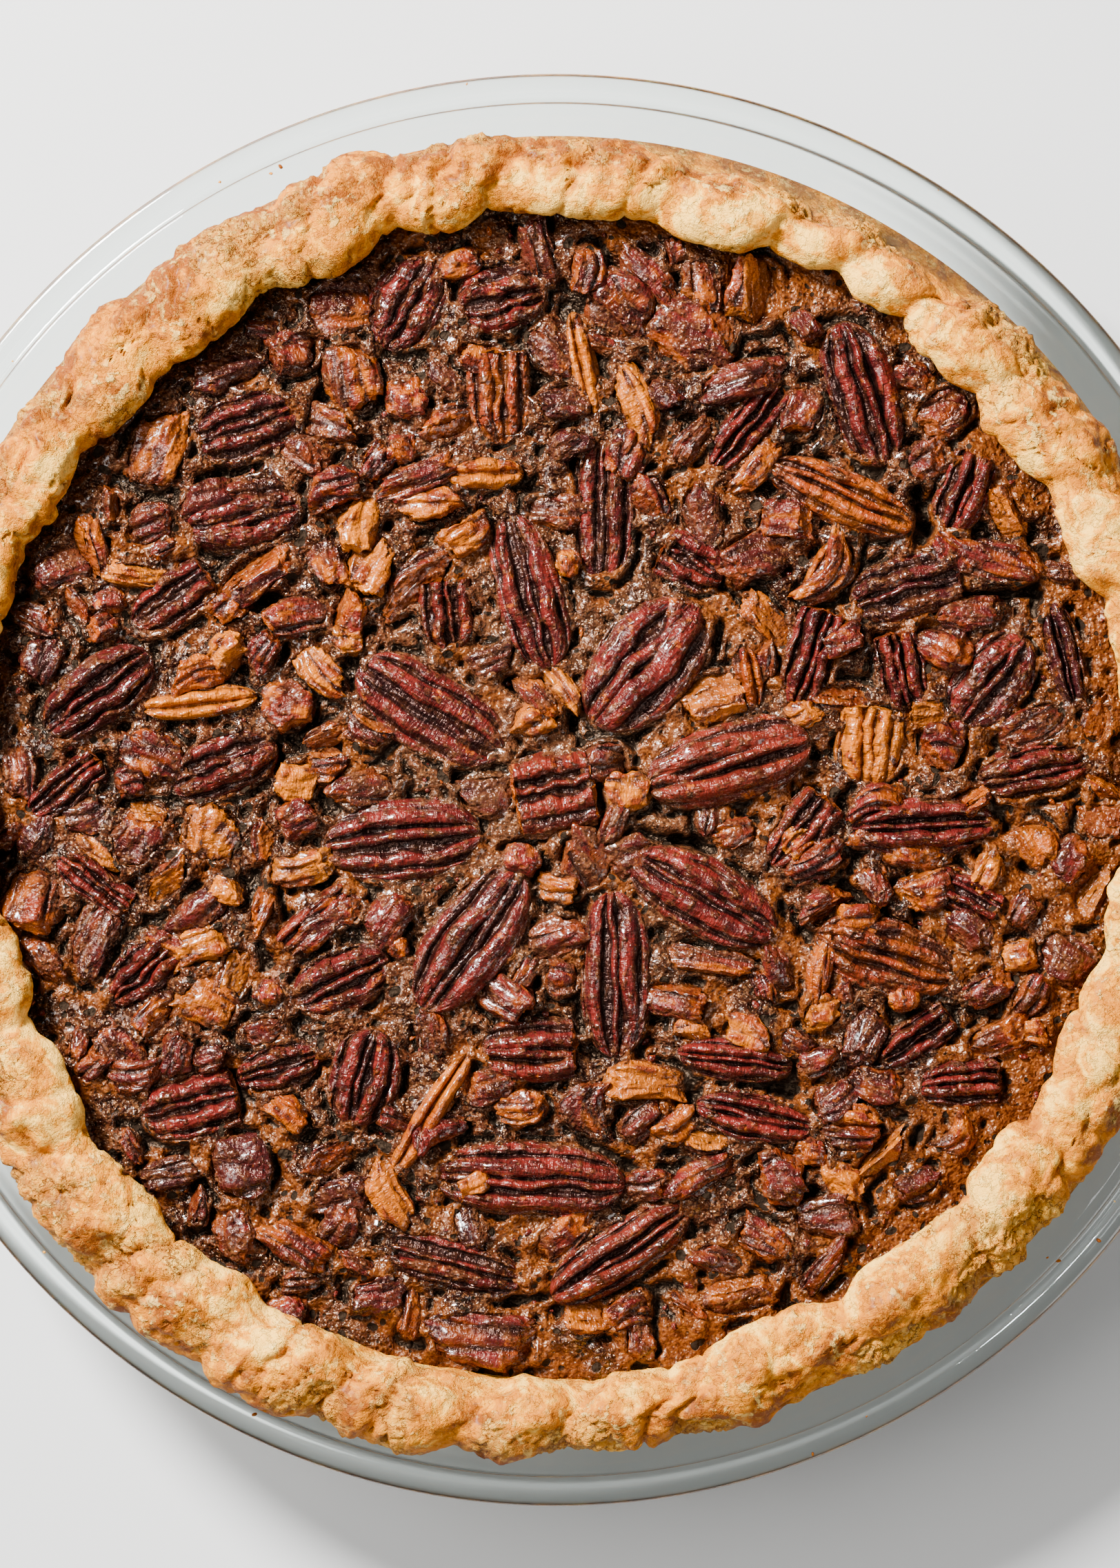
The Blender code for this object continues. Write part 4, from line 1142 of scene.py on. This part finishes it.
def crumbShapes(name, kind):
    # a few small shapes in a collection of their own, outside the scene
    collection = bpy.data.collections.new(name)
    points, faces = crumbBall
    for k in range(kind["shapes"]):
        lot = np.random.default_rng(kind["seed"] + k)
        p = points * (1, lot.uniform(0.4, 0.8), kind["squash"])
        for _ in range(kind["cuts"]):
            slant = unit(lot.normal(size=3))
            p = p - slant * np.clip(p @ slant - lot.uniform(0.35, 0.7), 0, None)[:, None]
        p = p * (1 + 0.2 * noiseAt(p + k, 0.7, 2, 61))[:, None]
        marks = {mark: values[k % len(values)] for mark, values in kind["marks"].items()}
        shape = newPiece(name + str(k), p, faces, kind["material"], p + k * 9, groove=0.0, film=0.0,
                         crease=0.0, **marks)
        scene.collection.objects.unlink(shape)
        collection.objects.link(shape)
    return collection


def makeScatter(material):
    # points on the base where its room mark allows, a shape on each, lying along the surface
    g = newTree("scatter", Pieces="NodeSocketCollection", Density="NodeSocketFloat", Gap="NodeSocketFloat",
                Smallest="NodeSocketFloat", Largest="NodeSocketFloat", Seed="NodeSocketInt")
    room = g.node("GeometryNodeInputNamedAttribute", {"data_type": "FLOAT"}, {"Name": "room"})
    spots = g.node("GeometryNodeDistributePointsOnFaces", {"distribute_method": "POISSON"}, {
        "Mesh": g.given["Geometry"], "Distance Min": g.given["Gap"], "Density Max": g.given["Density"],
        "Density Factor": room["Attribute"], "Seed": g.given["Seed"]})
    size = g.node("FunctionNodeRandomValue", {"data_type": "FLOAT"}, {
        2: g.given["Smallest"], 3: g.given["Largest"], "Seed": g.given["Seed"]})
    turn = g.node("FunctionNodeRandomValue", {"data_type": "FLOAT_VECTOR"}, {
        0: (-0.5, -0.5, 0.0), 1: (0.5, 0.5, math.tau), "Seed": g.given["Seed"]})
    turned = g.node("FunctionNodeRotateRotation", {"rotation_space": "LOCAL"}, {
        0: spots["Rotation"], 1: turn[0]})
    shapes = g.node("GeometryNodeCollectionInfo", {}, {
        "Collection": g.given["Pieces"], "Separate Children": True, "Reset Children": True})
    placed = g.node("GeometryNodeInstanceOnPoints", {}, {
        "Points": spots["Points"], "Instance": shapes[0], "Pick Instance": True, "Rotation": turned[0],
        "Scale": size[1]})
    finishTree(g, placed[0], material)
    return g


def scatter(name, x, y, height, room):
    # a sheet of quads with how much room each point has, and the crumbs that fall on it
    kind = crumbKinds[name]
    rows, count = x.shape
    here = (np.arange(rows - 1)[:, None] * count + np.arange(count - 1)[None, :]).ravel()
    faces = np.stack([here, here + count, here + count + 1, here + 1], -1)
    faces = faces[(room.ravel()[faces] > 0).any(1)].tolist()
    base = newPiece(name + "Base", columns(x, y, height).reshape(-1, 3), faces, kind["material"],
                    room=room.ravel())
    shapes = crumbShapes(name + "Shape", kind)
    crumbs = grown(base, makeScatter(kind["material"]), name, Pieces=shapes, **kind["scatter"])
    stow(crumbs, kind["slot"])
    print(name + ":", len(crumbs.data.polygons), "faces")


def scatterNutCrumbs():
    # on the open filling
    x, y, height, clear = (values[::3, ::3] for values in surface)
    patches = rise(noiseAt(columns(x, y, 0 * x), 9.0, 2, 62), -0.5, 0.4)
    scatter("nutCrumbs", x, y, height + 0.1, rise(clear, 0.2, 1.2) * (np.hypot(x, y) < 95) * patches)


def scatterPastryCrumbs():
    # on the glass rim, most of them on the far left
    degrees, radius = np.meshgrid(np.arange(0, 361, 2), np.arange(113.4, 119.6, 1.0), indexing="ij")
    x, y = radius * np.cos(np.radians(degrees)), radius * np.sin(np.radians(degrees))
    room = 0.12 + rise(degrees, 80, 100) * (1 - rise(degrees, 150, 170)) + 0.4 * dent(degrees - 318, 12)
    room = np.clip(room * rise(noiseAt(columns(x, y, 0 * x), 7.0, 2, 63), -0.1, 0.5), 0, 1)
    scatter("rimCrumbs", x, y, 32.7, room)


scatterNutCrumbs()
scatterPastryCrumbs()
print("crumbs scattered")

# floor, light and camera
stageSizes = {"floor": 3.0, "lens": 135.0, "sensor": 36.0, "frameHeight": 262.4, "level": 33.0,
              "aim": (0.6, 1.0), "lampAim": 30.0, "sky": (0.93, 0.96, 1.0, 1), "skyStrength": 0.12}
stageLights = {  # place in metres, width in metres, watts
    "windowLight": ((-0.60, 0.66, 0.78), 0.3, 75.0),
    "skyLight": ((-0.75, 0.10, 1.00), 0.9, 13.0),
    "fillLight": ((0.95, -0.55, 0.75), 0.7, 6.0),
}


def makeStage():
    z = stageSizes
    mesh = bpy.data.meshes.new("table")
    corners = [(x * z["floor"], y * z["floor"], 0) for x, y in ((-1, -1), (1, -1), (1, 1), (-1, 1))]
    mesh.from_pydata(corners, [], [(0, 1, 2, 3)])
    paint = {"Base Color": colour(206, 205, 203), "Roughness": 0.7}
    mesh.materials.append(newMaterial("tablePaint", paint)[0])
    inScene("table", mesh)
    for name, (place, size, watts) in stageLights.items():
        light = bpy.data.lights.new(name, "AREA")
        light.shape, light.size, light.energy = "DISK", size, watts
        lamp = inScene(name, light)
        lamp.location = place
        way = Vector((0, 0, z["lampAim"] * mm)) - Vector(place)
        lamp.rotation_euler = way.to_track_quat("-Z", "Y").to_euler()
    scene.world = bpy.data.worlds.new("studio")
    scene.world.use_nodes = True
    sky = scene.world.node_tree.nodes["Background"].inputs
    sky["Color"].default_value, sky["Strength"].default_value = z["sky"], z["skyStrength"]
    camera = bpy.data.cameras.new("view")
    camera.lens, camera.sensor_width = z["lens"], z["sensor"]
    camera.clip_start, camera.clip_end = 0.01, 10
    eye = inScene("view", camera)
    eye.location = Vector((*z["aim"], z["level"] + z["lens"] * z["frameHeight"] / z["sensor"])) * mm
    scene.camera = eye


makeStage()
print("stage lit")
